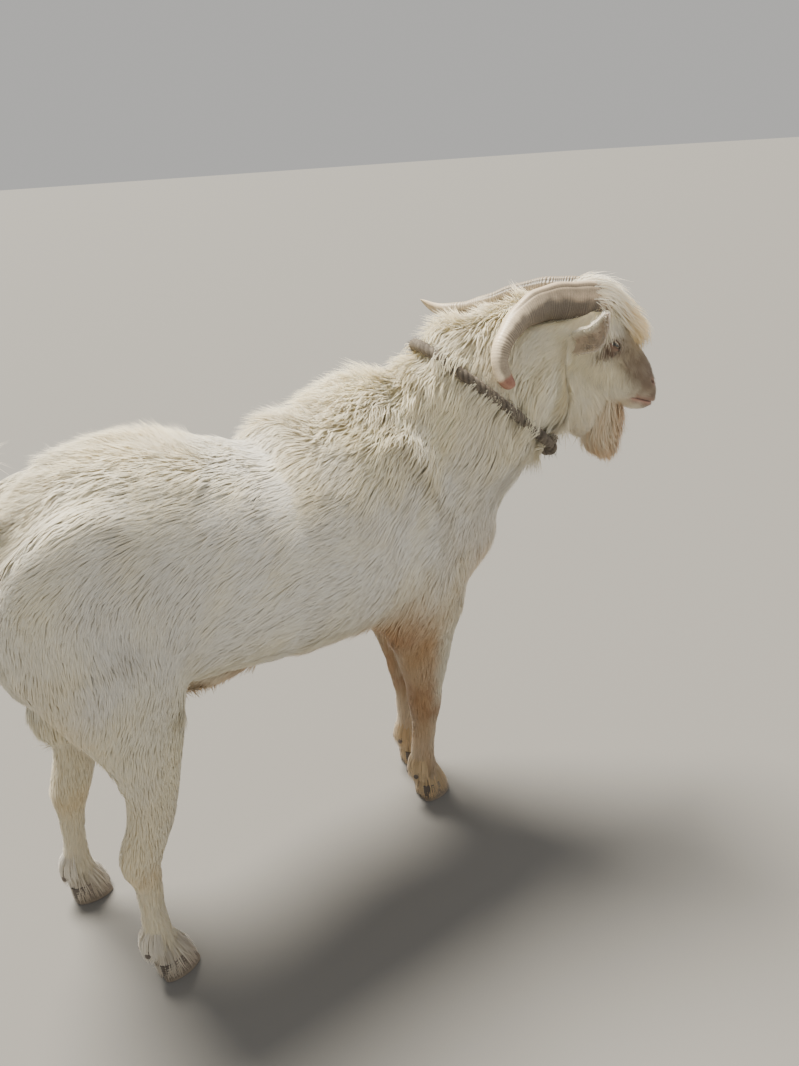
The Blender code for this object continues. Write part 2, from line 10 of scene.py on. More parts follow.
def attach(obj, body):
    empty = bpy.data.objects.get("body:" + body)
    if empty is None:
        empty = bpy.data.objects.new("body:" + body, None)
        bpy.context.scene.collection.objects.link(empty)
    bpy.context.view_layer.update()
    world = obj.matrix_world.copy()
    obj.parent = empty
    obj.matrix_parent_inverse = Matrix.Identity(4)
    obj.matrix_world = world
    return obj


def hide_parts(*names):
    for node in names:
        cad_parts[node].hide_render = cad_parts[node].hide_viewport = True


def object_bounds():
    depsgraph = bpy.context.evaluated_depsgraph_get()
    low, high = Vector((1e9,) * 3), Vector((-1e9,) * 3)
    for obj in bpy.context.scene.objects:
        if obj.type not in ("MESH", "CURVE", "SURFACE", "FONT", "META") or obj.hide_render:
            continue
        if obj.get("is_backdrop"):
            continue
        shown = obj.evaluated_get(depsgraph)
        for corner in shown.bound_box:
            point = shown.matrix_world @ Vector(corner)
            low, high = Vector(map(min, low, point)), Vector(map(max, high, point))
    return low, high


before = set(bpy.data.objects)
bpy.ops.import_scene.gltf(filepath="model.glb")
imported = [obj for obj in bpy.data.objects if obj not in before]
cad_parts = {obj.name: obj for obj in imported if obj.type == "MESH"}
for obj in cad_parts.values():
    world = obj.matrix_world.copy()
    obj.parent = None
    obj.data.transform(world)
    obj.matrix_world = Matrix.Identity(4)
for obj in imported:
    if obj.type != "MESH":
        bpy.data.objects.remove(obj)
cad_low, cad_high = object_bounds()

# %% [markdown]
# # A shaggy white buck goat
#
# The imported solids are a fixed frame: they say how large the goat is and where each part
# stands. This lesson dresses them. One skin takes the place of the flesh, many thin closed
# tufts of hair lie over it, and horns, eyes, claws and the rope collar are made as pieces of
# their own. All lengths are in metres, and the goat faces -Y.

HIND_FEET_Y = 0.4092          # world Y of the middle between the hind feet
SPINE_X = 0.0220              # world X of the trunk's middle plane
POLL_FORWARD = 0.790          # the head turns about its poll
POLL_RIGHT = 0.088
HEAD_TURN = math.radians(27.0)
HEAD_COS, HEAD_SIN = math.cos(HEAD_TURN), math.sin(HEAD_TURN)
UP = np.array((0.0, 0.0, 1.0))


def at(forward, right, up):
    """World points from metres forward of the hind feet, right of the spine and above the floor."""
    return np.stack(np.broadcast_arrays(SPINE_X - right, HIND_FEET_Y - forward, up), axis=-1).astype(float)


def goat_of(points):
    """The same three numbers, forward, right and up, for world points."""
    return HIND_FEET_Y - points[..., 1], SPINE_X - points[..., 0], points[..., 2]


def head_at(along, up, out):
    """World points from metres along the head's heading from the poll, up, and right of its middle."""
    forward = POLL_FORWARD + along * HEAD_COS - out * HEAD_SIN
    right = POLL_RIGHT + along * HEAD_SIN + out * HEAD_COS
    return at(forward, right, up)


def head_of(points):
    """Along, up and out in the turned head's frame, for world points."""
    forward, right, up = goat_of(points)
    ahead, aside = forward - POLL_FORWARD, right - POLL_RIGHT
    return ahead * HEAD_COS + aside * HEAD_SIN, up, -ahead * HEAD_SIN + aside * HEAD_COS


def world_way(forward, right, up):
    """A direction in the goat's frame as a world direction, for numbers or arrays."""
    return np.stack(np.broadcast_arrays(-right, -forward, up), -1).astype(float)


def head_way(along, up, out):
    """A direction in the head's frame as a world direction."""
    return world_way(along * HEAD_COS - out * HEAD_SIN, along * HEAD_SIN + out * HEAD_COS, up)


def unit(vectors):
    return vectors / np.maximum(np.linalg.norm(vectors, axis=-1, keepdims=True), 1e-9)


def ramp(value, start, end):
    """0 before start, 1 after end, and a smooth S between: 3t^2 - 2t^3."""
    t = np.clip((value - start) / (end - start), 0, 1)
    return t * t * (3 - 2 * t)


def fall(value, start, end):
    """1 before start and 0 after end: the ramp turned over."""
    return 1 - ramp(value, start, end)


def bump(value, centre, width):
    """A bell that is 1 at centre and falls to 1/e a width away."""
    return np.exp(-(((value - centre) / width) ** 2))


def turns(count):
    """Even angles once round."""
    return np.arange(count) * 2 * math.pi / count


# %% [markdown]
# ## Camera, floor and light
#
# The camera comes first, so that every piece can be judged from the right place. It stands a
# metre up, behind the goat's right shoulder, looks a little down and leans a little. The light
# is plain and soft: one large lamp above and behind, so that the raised hair glows along the
# back, and two weaker ones to fill the near side.

# %% Camera
camera_data = bpy.data.cameras.new("camera")
camera_data.lens = 27.0
camera_data.sensor_width = 36.0
camera_data.clip_start = 0.01


def placed(name, data, place=(0, 0, 0)):
    """An object with this data in the scene."""
    made = bpy.data.objects.new(name, data)
    made.location = place
    bpy.context.scene.collection.objects.link(made)
    return made


camera = placed("camera", camera_data, (-0.9116, 0.4870, 1.0000))
camera.rotation_euler = [math.radians(turn) for turn in (64.825, 3.423, -123.750)]
bpy.context.scene.camera = camera
print("camera at", tuple(round(value, 3) for value in camera.location))

# %% Materials: small helpers that wire nodes by name


def new_material(name, roughness=0.6):
    """A Principled material; returns the material, its tree, its shader and a function that adds a node."""
    made = bpy.data.materials.new(name)
    made.use_nodes = True
    tree = made.node_tree
    shader = tree.nodes["Principled BSDF"]
    shader.inputs["Roughness"].default_value = roughness

    def add(kind, **settings):
        """A node of this kind. A setting names a property, or an input that takes a number or a link."""
        node = tree.nodes.new(kind)
        for key, value in settings.items():
            if key in node.inputs.keys() or key.startswith("in_"):
                socket = node.inputs[int(key[3:])] if key.startswith("in_") else node.inputs[key]
                if isinstance(value, bpy.types.NodeSocket):
                    tree.links.new(value, socket)
                else:
                    socket.default_value = value
            else:
                setattr(node, key, value)
        return node

    return made, tree, shader, add


def attribute(add, name, output="Fac"):
    return add("ShaderNodeAttribute", attribute_name=name).outputs[output]


def maths(add, operation, first, second=0.5):
    return add("ShaderNodeMath", operation=operation, in_0=first, in_1=second).outputs[0]


def spread_over(add, value, start, end, low=0.0, high=1.0):
    """A value that runs from low to high while the one it reads runs from start to end."""
    ends = {"From Min": start, "From Max": end, "To Min": low, "To Max": high}
    return add("ShaderNodeMapRange", Value=value, **ends).outputs[0]


def scaled_tint(tree, shader, add, scale, output="Color"):
    """The surface's colour is the piece's own tint times this scale."""
    scaled = add("ShaderNodeVectorMath", operation="SCALE", in_0=attribute(add, "tint", output), Scale=scale)
    tree.links.new(scaled.outputs[0], shader.inputs["Base Color"])


def bumped(tree, shader, add, height, strength, distance):
    relief = add("ShaderNodeBump", Height=height, Strength=strength, Distance=distance)
    tree.links.new(relief.outputs[0], shader.inputs["Normal"])


# %% Floor and lights
FLOOR_REACH = 150.0
floor_mesh = bpy.data.meshes.new("floor")
sides = ((-1, -1), (1, -1), (1, 1), (-1, 1))
floor_mesh.from_pydata([(x * FLOOR_REACH, y * FLOOR_REACH, 0) for x, y in sides], [], [(0, 1, 2, 3)])
floor = placed("floor", floor_mesh)
floor_look, tree, shader, add = new_material("pale_floor", 0.9)
shader.inputs["Base Color"].default_value = (0.178, 0.175, 0.168, 1)
floor_mesh.materials.append(floor_look)
floor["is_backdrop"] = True

world = bpy.data.worlds.new("studio")
bpy.context.scene.world = world
world.use_nodes = True
world.node_tree.nodes["Background"].inputs["Color"].default_value = (1.0, 0.985, 0.955, 1)
world.node_tree.nodes["Background"].inputs["Strength"].default_value = 0.51


def lamp(name, kind, power, colour, way, place=(0, 0, 0), **settings):
    """A lamp of this kind that shines this way; a setting is its size or its angle."""
    data = bpy.data.lights.new(name, kind)
    data.energy, data.color = power, colour
    for key, value in settings.items():
        setattr(data, key, value)
    placed(name, data, place).rotation_euler = way.to_track_quat("-Z", "Y").to_euler()


def fill(name, place, aim, size, power, colour):
    lamp(name, "AREA", power, colour, Vector(aim) - Vector(place), place, size=size)


lamp("high_lamp", "SUN", 11.6, (1.0, 0.93, 0.80), Vector((-0.42, -0.04, -0.90)), angle=math.radians(24))
fill("near_fill", (-2.4, 0.9, 1.9), (0.0, 0.0, 0.4), 2.6, 12, (1.0, 0.97, 0.93))
fill("front_fill", (-1.6, -1.9, 0.9), (0.0, -0.2, 0.5), 1.8, 5, (1.0, 0.96, 0.90))

# %% [markdown]
# ## The skin
#
# Real flesh has no joints between trunk and leg, so one skin replaces all the flesh nodes.
# Their copies are swollen by half a millimetre, which closes the thin parting cuts, fused with
# a voxel remesh and eased by smoothing that alternates a step in and a step out, so thin legs
# keep their girth. The solids reach out to the tips of the coat, so the skin is then drawn in
# along its normals by the coat's depth at each place.

# %% Fuse the flesh
LIMBS = ["leg_front_left", "leg_front_right", "leg_hind_left", "leg_hind_right"]
FLESH = ["head", "neck", "trunk", "tail", *LIMBS]
VOXEL = 0.007
SWELL = 0.0006


def read_all(items, key, width, kind=float):
    """One property of every item of a mesh, in rows of this width."""
    found = np.empty(len(items) * width, kind)
    items.foreach_get(key, found)
    return found.reshape(-1, width)


def points_of(mesh):
    return read_all(mesh.vertices, "co", 3)


def normals_of(mesh):
    return read_all(mesh.vertices, "normal", 3)


def edges_of(mesh):
    return read_all(mesh.edges, "vertices", 2, int)


def give(mesh, key, values):
    """A number for each point of the mesh, under this name."""
    layer = mesh.attributes.get(key) or mesh.attributes.new(key, "FLOAT", "POINT")
    layer.data.foreach_set("value", np.asarray(values).ravel().astype(np.float32))


def give_tint(mesh, colours):
    layer = mesh.attributes.new("tint", "FLOAT_COLOR", "POINT")
    filled = np.ones((len(mesh.vertices), 4))
    filled[:, :3] = colours
    layer.data.foreach_set("color", filled.ravel().astype(np.float32))


def finish_piece(name, mesh, look, slot, *nodes):
    """An object of this mesh that rides on the frame, in place of these nodes; the slot is not used."""
    made = placed(name, mesh)
    mesh.materials.append(look)
    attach(made, "root")
    if nodes:
        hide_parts(*nodes)
    return made


def swollen_copy(names, amount):
    """One bmesh of these nodes, merged, with each point moved out along its normal."""
    joined = bmesh.new()
    for name in names:
        bm = bmesh.new()
        bm.from_mesh(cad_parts[name].data)
        bmesh.ops.remove_doubles(bm, verts=bm.verts, dist=1e-5)
        bm.normal_update()
        for vert in bm.verts:
            vert.co += vert.normal * amount
        part = bpy.data.meshes.new("part")
        bm.to_mesh(part)
        bm.free()
        joined.from_mesh(part)
        bpy.data.meshes.remove(part)
    return joined


def add_ball(joined, along, up, out, radii):
    """A stretched ball in the head's frame."""
    place = Matrix.Translation(head_at(along, up, out)) @ Matrix.Rotation(-HEAD_TURN, 4, "Z")
    place = place @ Matrix.Diagonal((*radii, 1))
    bmesh.ops.create_uvsphere(joined, u_segments=24, v_segments=14, radius=1.0, matrix=place)


def fused(names, voxel):
    """The nodes as one closed skin of small quads."""
    mesh = bpy.data.meshes.new("skin")
    joined = swollen_copy(names, SWELL)
    # flesh between jaw and neck, and the head's bone under each horn, which the solids leave out
    add_ball(joined, -0.024, 0.682, 0.0, (0.035, 0.036, 0.046))
    for side in (1, -1):
        add_ball(joined, -0.012, 0.766, side * 0.022, (0.018, 0.052, 0.024))
    joined.to_mesh(mesh)
    joined.free()
    skin = placed("skin", mesh)
    remesh = skin.modifiers.new("fuse", "REMESH")
    remesh.mode = "VOXEL"
    remesh.voxel_size = voxel
    bpy.context.view_layer.update()
    made = bpy.data.meshes.new_from_object(skin.evaluated_get(bpy.context.evaluated_depsgraph_get()))
    skin.modifiers.clear()
    skin.data = made
    bpy.data.meshes.remove(mesh)
    return skin


def averaged(values, edges, count):
    """Each vertex's mean of its neighbours' values."""
    total = np.zeros((count, values.shape[1]))
    for a, b in ((0, 1), (1, 0)):
        for axis in range(values.shape[1]):
            weights = values[edges[:, b], axis]
            total[:, axis] += np.bincount(edges[:, a], weights=weights, minlength=count)
    degree = np.bincount(edges.ravel(), minlength=count)
    return total / np.maximum(degree, 1)[:, None]


def blurred(values, edges, rounds):
    """Numbers that go halfway to their neighbours' mean, so many times."""
    for _ in range(rounds):
        values = 0.5 * values + 0.5 * averaged(values[:, None], edges, len(values))[:, 0]
    return values


def drawn_together(points, edges, share, rounds):
    """Points that go a share of the way to their neighbours' mean, so many times."""
    for _ in range(rounds):
        points = points + share[:, None] * (averaged(points, edges, len(points)) - points)
    return points


def eased(points, edges, rounds, weight=1.0):
    """Taubin smoothing: a step of 0.55 towards the neighbours' mean, then 0.57 back out, each round."""
    for _ in range(rounds):
        for step in (0.55, -0.57):
            points = points + step * weight * (averaged(points, edges, len(points)) - points)
    return points


def move_skin(points):
    skin.data.vertices.foreach_set("co", points.ravel())
    skin.data.update()


skin = fused(FLESH + ["eye_left", "eye_right"], VOXEL)
edges = edges_of(skin.data)
skin_points = eased(points_of(skin.data), edges, 30)
move_skin(skin_points)
print("skin", len(skin.data.vertices), "vertices")

# %% How deep the coat is, place by place
FACE_ALONG = (0.657, -0.754)      # from the poll down the face, in the head's middle plane
FACE_OUT = (0.754, 0.657)         # and square to it, out through the bridge of the nose
FACE_ROOT = (0.0, 0.800)


def face_frame(points):
    """How far down the face from the poll a point lies, and how far in front of the line down the face."""
    along, height, out = head_of(points)
    ahead, above = along - FACE_ROOT[0], height - FACE_ROOT[1]
    return ahead * FACE_ALONG[0] + above * FACE_ALONG[1], ahead * FACE_OUT[0] + above * FACE_OUT[1]


def head_down(points):
    return face_frame(points)[0]


def under_horn(points):
    """1 on the short-haired patch behind the ear, below the horn's arch."""
    along, height, out = head_of(points)
    ahead = ramp(along, -0.125, -0.085) * fall(along, -0.010, 0.010)
    return ahead * ramp(height, 0.715, 0.740) * ramp(np.abs(out), 0.008, 0.020)


def tail_share(forward, up):
    """1 on the tail and on the end of the rump above it."""
    tail = fall(forward, -0.055, -0.030) * ramp(up, 0.61, 0.66)
    return np.maximum(tail, fall(forward, -0.03, 0.0) * ramp(up, 0.69, 0.72))


def coat_depth(points):
    """Metres from the skin to the tips of the hair: short on face and feet, long on neck and crest."""
    forward, right, up = goat_of(points)
    along, height, out = head_of(points)
    depth = np.full(len(points), 0.0050)
    # upright crest over rump and loin
    depth += 0.024 * (bump(right, 0, 0.070) * ramp(up, 0.58, 0.69) * fall(forward, 0.20, 0.29))
    # cape over withers and shoulders
    cape = ramp(forward, 0.30, 0.37) * ramp(up, 0.52, 0.68)
    depth += 0.029 * cape * (0.40 + 0.60 * bump(right, 0.0, 0.09)) * (1 - 0.60 * ramp(forward, 0.50, 0.60))
    # neck, fullest along the nape
    neck = ramp(forward, 0.52, 0.62) * ramp(up, 0.50, 0.58)
    depth += 0.006 * np.maximum(neck, ramp(forward, 0.53, 0.58) * ramp(up, 0.38, 0.48))
    # thigh and belly
    depth += 0.003 * ramp(0.46 - up, 0, 0.08) * ramp(up, 0.36, 0.42)

    def turn_to(share, value):
        nonlocal depth
        depth = depth * (1 - share) + share * value

    # legs
    turn_to(fall(up, 0.28, 0.40), 0.0038 + 0.0015 * ramp(up, 0.12, 0.30) + 0.0025 * fall(up, 0.05, 0.10))
    # tail
    tail = fall(forward, -0.075, -0.045) * ramp(up, 0.60, 0.66)
    turn_to(np.maximum(tail, fall(forward, -0.03, 0.02) * ramp(up, 0.68, 0.71)), 0.013)
    # head: its own measure, from poll to lips
    down = head_down(points)
    short = 0.0055 * fall(down, 0.07, 0.15) * ramp(np.abs(out), 0.0, 0.03) * ramp(0.745 - height, 0.0, 0.04)
    short = 0.0030 + short
    short = short + 0.004 * ramp(0.66 - height, 0, 0.03) * fall(down, 0.15, 0.18)
    turn_to(ramp(along, -0.055, -0.005) * ramp(height, 0.58, 0.62), short)
    # short smooth hair behind the ear and under the horn
    turn_to(under_horn(points), 0.0050)
    # the narrow place where jaw and neck meet
    turn_to(np.exp(-(((along + 0.020) / 0.038) ** 2 + ((height - 0.668) / 0.055) ** 2) ** 2), 0.0030)
    return depth


depth = blurred(coat_depth(skin_points), edges, 12)
inward = normals_of(skin.data)
for _ in range(6):
    inward = unit(0.4 * inward + 0.6 * averaged(inward, edges, len(inward)))
skin_points = eased(skin_points - inward * depth[:, None], edges, 6)
# the breast runs down to the forelegs in one even line
ahead, _, high = goat_of(skin_points)
breast = np.exp(-(((ahead - 0.625) / 0.075) ** 2 + ((high - 0.475) / 0.085) ** 2) ** 2)
skin_points = drawn_together(skin_points, edges, 0.7 * breast, 45)
# and the crown is low and even under the forelock
along, high, _ = head_of(skin_points)
crown = np.exp(-(((along + 0.010) / 0.045) ** 2 + ((high - 0.782) / 0.026) ** 2) ** 2)
skin_points = drawn_together(skin_points, edges, 0.6 * crown, 14)
move_skin(skin_points)
print("coat depth from %.4f to %.4f" % (depth.min(), depth.max()))
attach(skin, "root")
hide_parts(*FLESH, "ear_left", "ear_right")
skin_look, tree, shader, add = new_material("skin", 0.7)
scaled_tint(tree, shader, add, 0.98)
skin.data.materials.append(skin_look)
skin.data.shade_smooth()

# %% [markdown]
# ## Ears, and a map of the skin
#
# An ear is a leaf rolled into a trough. Its path, width and cup are carried along a curve and
# it is joined to the skin before the skin is unwrapped, so the hair on it finds its place on
# the same map. The map is named OFBake, and every tuft of hair is later given a small patch
# at its root's place on it.

# %% Surfaces carried along a path


def smooth_rows(rows, count):
    """Rows resampled at count even places along a Catmull-Rom curve through them."""
    rows = np.array(rows, float)
    padded = np.concatenate([[2 * rows[0] - rows[1]], rows, [2 * rows[-1] - rows[-2]]])
    place = np.linspace(0, len(rows) - 1, count)
    index = np.minimum(place.astype(int), len(rows) - 2)
    t = (place - index)[:, None]
    a, b, c, d = (padded[index + k] for k in range(4))
    return 0.5 * (2 * b + (c - a) * t + (2 * a - 5 * b + 4 * c - d) * t**2 + (3 * b - a - 3 * c + d) * t**3)


def frames_along(centres, side, lifted=False):
    """Across and deep directions at each centre; across is side made square to the path. Lifted turns
    deep upwards."""
    along = unit(np.gradient(centres, axis=0))
    across = unit(side - (along @ side)[:, None] * along)
    deep = np.cross(along, across)
    return across, deep * (-1 if lifted and deep[:, 2].sum() <= 0 else 1)


def rings_round(centres, x, y, across, deep):
    """Rings of points, x across and y deep of each centre."""
    return centres[:, None] + x[..., None] * across[:, None] + y[..., None] * deep[:, None]


def rings_mesh(name, rings, attributes=None, closed=False):
    """A closed mesh from rings of points (m, n, 3): quads between rings, and either a fan to a pole at
    each end or, where closed, quads from the last ring back to the first."""
    m, n = rings.shape[:2]
    points = rings.reshape(-1, 3)
    ring, turn = np.meshgrid(np.arange(m if closed else m - 1), np.arange(n), indexing="ij")
    after, beyond = (turn + 1) % n, (ring + 1) % m
    quads = [ring * n + turn, ring * n + after, beyond * n + after, beyond * n + turn]
    quads = np.stack(quads, -1).reshape(-1, 4)
    fans = np.empty((0, 3), int)
    if not closed:
        points = np.concatenate([points, rings[0].mean(0, keepdims=True), rings[-1].mean(0, keepdims=True)])
        turn, pole = np.arange(n), np.full(n, m * n)
        after = (turn + 1) % n
        far = (m - 1) * n
        first, last = np.stack([after, turn, pole], -1), np.stack([far + turn, far + after, pole + 1], -1)
        fans = np.concatenate([first, last])
    corners = np.concatenate([quads[:, [0, 1, 2]], quads[:, [0, 2, 3]], fans])
    a, b, c = (points[corner] for corner in corners.T)
    volume = np.einsum("ij,ij->", a, np.cross(b, c))
    faces = [*quads.tolist(), *fans.tolist()]
    if volume < 0:
        faces = [face[::-1] for face in faces]
    mesh = bpy.data.meshes.new(name)
    mesh.from_pydata(points.tolist(), [], faces)
    for key, values in (attributes or {}).items():
        give(mesh, key, np.concatenate([values.ravel(), [values[0].mean(), values[-1].mean()]]))
    mesh.shade_smooth()
    return mesh


# %% Ears
# along, up and outward of the head's middle, half width, half thickness
EAR_ROWS = [
    (-0.036, 0.738, 0.026, 0.0120, 0.0080),
    (-0.030, 0.744, 0.036, 0.0120, 0.0066),
    (-0.022, 0.750, 0.052, 0.0145, 0.0046),
    (-0.015, 0.757, 0.070, 0.0160, 0.0034),
    (-0.011, 0.764, 0.090, 0.0156, 0.0028),
    (-0.007, 0.780, 0.107, 0.0108, 0.0022),
    (-0.006, 0.798, 0.119, 0.0030, 0.0014),
]
EAR_CUP = 0.0095
EAR_RINGS, EAR_SIDES = 46, 40
EAR_KEYS = ("ear", "ear_inside", "ear_along", "ear_edge")


def ear_mesh(side):
    """Point (t, a) = centre(t) + width cos(a) across + (thickness sin(a) + cup (cos^2 a - 1/2)) deep."""
    rows = smooth_rows(EAR_ROWS, EAR_RINGS)
    centres = head_at(rows[:, 0], rows[:, 1], side * rows[:, 2])
    blade = unit(at(0.30, 0.0, -0.95) - at(0.0, 0.0, 0.0))
    across, deep = frames_along(centres, blade, lifted=True)
    wide, high = np.cos(turns(EAR_SIDES)), np.sin(turns(EAR_SIDES))
    width, thick = rows[:, 3:4], rows[:, 4:5]
    cup = -side * EAR_CUP * (wide**2 - 0.5) * np.minimum(1, width / EAR_CUP)
    rings = rings_round(centres, width * wide, thick * high + cup, across, deep)
    values = (1.0, high * side, np.linspace(0, 1, EAR_RINGS)[:, None], wide)
    values = [np.broadcast_to(value, rings.shape[:2]) for value in values]
    return rings_mesh("ear", rings, dict(zip(EAR_KEYS, values)))


joined = bmesh.new()
joined.from_mesh(skin.data)
ear_marks = {key: [np.zeros(len(skin.data.vertices))] for key in EAR_KEYS}
for side in (1, -1):
    leaf = ear_mesh(side)
    joined.from_mesh(leaf)
    for key, values in ear_marks.items():
        values.append(read_all(leaf.attributes[key].data, "value", 1)[:, 0])
    bpy.data.meshes.remove(leaf)
joined.to_mesh(skin.data)
joined.free()
for key, values in ear_marks.items():
    give(skin.data, key, np.concatenate(values))
print("skin with ears", len(skin.data.vertices), "vertices")

# %% Unwrap
bpy.context.view_layer.objects.active = skin
skin.select_set(True)
skin.data.uv_layers.new(name="OFBake")
bpy.ops.object.mode_set(mode="EDIT")
bpy.ops.mesh.select_all(action="SELECT")
bpy.ops.uv.smart_project(angle_limit=math.radians(66), island_margin=0.002, scale_to_bounds=True)
bpy.ops.object.mode_set(mode="OBJECT")
print("map", skin.data.uv_layers.active.name)

# %% [markdown]
# ## The face
#
# The head shows most, so its skin is divided finer: faces of 3 mm, then 1.5 mm, and under a
# millimetre round the eyes and over the muzzle. Points are then moved by small formulas: lids
# wrapped on the eyeball with an almond opening, a brow, a cheek ridge, slit nostrils with a
# raised rim, and a mouth line with a little fullness above and below it.

# %% Finer faces on the head
EYE_ALONG, EYE_UP, EYE_OUT = 0.0310, 0.7400, 0.0372
EYE_RADIUS = 0.0132


def ear_share():
    return read_all(skin.data.attributes["ear"].data, "value", 1)[:, 0]


def refine(here):
    """Split the edges of the faces that here picks by their centres, off the ears: each quad becomes four."""
    starts = np.array([polygon.vertices[0] for polygon in skin.data.polygons])
    chosen = here(read_all(skin.data.polygons, "center", 3)) & (ear_share()[starts] < 0.5)
    bm = bmesh.new()
    bm.from_mesh(skin.data)
    bm.faces.ensure_lookup_table()
    edges = list({edge for index in np.nonzero(chosen)[0].tolist() for edge in bm.faces[index].edges})
    bmesh.ops.subdivide_edges(bm, edges=edges, cuts=1, use_grid_fill=True)
    bm.to_mesh(skin.data)
    bm.free()
    skin.data.update()


def settle_face(rounds):
    """Ease only the face's points, so that new faces don't keep the old ones' corners."""
    points = points_of(skin.data)
    along, height, out = head_of(points)
    weight = (ramp(along, -0.060, -0.045) * ramp(height, 0.57, 0.585) * (ear_share() < 0.5))[:, None]
    move_skin(eased(points, edges_of(skin.data), rounds, weight))


def on_head(centres, reach=0.0):
    along, height, out = head_of(centres)
    return (along > -0.050 + reach) & (height > 0.580 + reach)


def on_face(centres):
    return on_head(centres, 0.030)


def on_features(centres):
    along, height, out = head_of(centres)
    down, fore = face_frame(centres)
    eye = (along - EYE_ALONG) ** 2 + (height - EYE_UP) ** 2 < 0.019**2
    return (eye & (np.abs(out) > 0.028)) | ((down > 0.150) & (fore > -0.055))


for here, rounds in ((on_head, 4), (on_face, 4), (on_features, 3)):
    refine(here)
    settle_face(rounds)
triangles = sum(len(polygon.vertices) - 2 for polygon in skin.data.polygons)
print("skin", len(skin.data.vertices), "vertices,", triangles, "triangles")

# %% Lids, brow, nostrils and mouth
LID_HALF = 0.0118              # half the length of the eye's opening
LID_UPPER, LID_LOWER = 0.0047, 0.0034
LID_THICK = 0.0013
MOUTH_START, MOUTH_FORE, MOUTH_SLOPE = 0.154, -0.0415, 0.56
NOSTRIL = (0.1075, 0.6730, 0.0155)


def eye_frame(side):
    """Centre of the eyeball, and unit directions out of the eye, towards its front corner and up."""
    centre = head_at(EYE_ALONG, EYE_UP, side * EYE_OUT)
    gaze = unit(head_way(0.26, 0.10, side * 0.95))
    corner = head_way(0.88, -0.48, 0.0)
    corner = unit(corner - gaze * (corner @ gaze))
    lift = np.cross(gaze, corner)
    return centre, gaze, corner, lift * (1 if lift[2] > 0 else -1)


def eye_place(points, side):
    """Distances along the eye, up it and out of it, and how far a point lies beyond the opening's edge."""
    centre, gaze, corner, lift = eye_frame(side)
    away = points - centre
    x, y, z = away @ corner, away @ lift, away @ gaze
    upper, lower = opening(x)
    return x, y, z, upper, lower, np.maximum(y - upper, lower - y)


def opening(x):
    """Upper and lower edge of the almond at x along the eye: height (1 - (x / half)^2)^0.8."""
    arch = np.clip(1 - (x / LID_HALF) ** 2, 0, 1) ** 0.8
    droop = 0.0012 * x / LID_HALF
    return LID_UPPER * arch - droop, -LID_LOWER * arch - droop


def shape_lids(points, side):
    """Wrap the skin round the eye on a sphere a lid's thickness outside the ball, with a crease above,
    and drop what lies inside the opening behind the ball's face."""
    centre, gaze, corner, lift = eye_frame(side)
    x, y, z, upper, lower, beyond = eye_place(points, side)
    radius = np.hypot(x, y)
    near = (radius < 0.024) & (z > -0.004)
    outer = EYE_RADIUS + LID_THICK
    ball = np.sqrt(np.clip(outer**2 - radius**2, (0.35 * outer) ** 2, None))
    share = ramp(radius, 0.0105, 0.0200)
    new = ball * (1 - share) + z * share
    crease = bump(y - upper, 0.0036, 0.0011) * ramp(LID_HALF * 1.25 - np.abs(x), 0, 0.004) * (y > 0)
    crease += 0.6 * bump(lower - y, 0.0034, 0.0011) * ramp(LID_HALF * 1.15 - np.abs(x), 0, 0.004) * (y < 0)
    new = new - 0.0011 * crease
    new = new + 0.0005 * bump(beyond, 0.0006, 0.0009) * (np.abs(x) < LID_HALF * 1.05)
    inside = (beyond < 0) & (np.abs(x) < LID_HALF)
    edge = inside & (beyond > -0.0009)
    y = np.where(edge, np.where(y > (upper + lower) / 2, upper, lower), y)
    new = np.where(inside, np.where(edge, new - 0.0012, 0.25 * outer), new)
    moved = centre + x[:, None] * corner + y[:, None] * lift + new[:, None] * gaze
    return np.where(near[:, None], moved, points)


def mouth_offset(points):
    """Signed distance above the line of the mouth, and how much of the line runs here."""
    down, fore = face_frame(points)
    line = MOUTH_FORE + MOUTH_SLOPE * (down - MOUTH_START)
    return (fore - line) / math.hypot(1, MOUTH_SLOPE), ramp(down, MOUTH_START - 0.004, MOUTH_START + 0.006)


def nostril_offsets(points, side):
    """Distances along and across the nostril's slit from its middle, and off the plane they lie in."""
    middle = head_at(NOSTRIL[0], NOSTRIL[1], side * NOSTRIL[2])
    slit = unit(head_way(-0.62, 0.22, side * 0.62))
    face_way = unit(head_way(0.80, 0.10, side * 0.58))
    across = np.cross(slit, face_way)
    away = points - middle
    bent = away @ across - 0.35 * (away @ slit) ** 2 / 0.006
    return away @ slit, bent, np.abs(away @ face_way)


def face_share(points):
    """1 on the head in front of the ears, 0 behind."""
    along, height, out = head_of(points)
    return ramp(along, -0.050, 0.000) * ramp(height, 0.55, 0.60)


def head_spot(points, along, up, out, radii):
    """A bell round a place on both sides of the head."""
    a, u, o = head_of(points)
    away = (a - along, u - up, np.abs(o) - out)
    return np.exp(-((away[0] / radii[0]) ** 2 + (away[1] / radii[1]) ** 2 + (away[2] / radii[2]) ** 2))


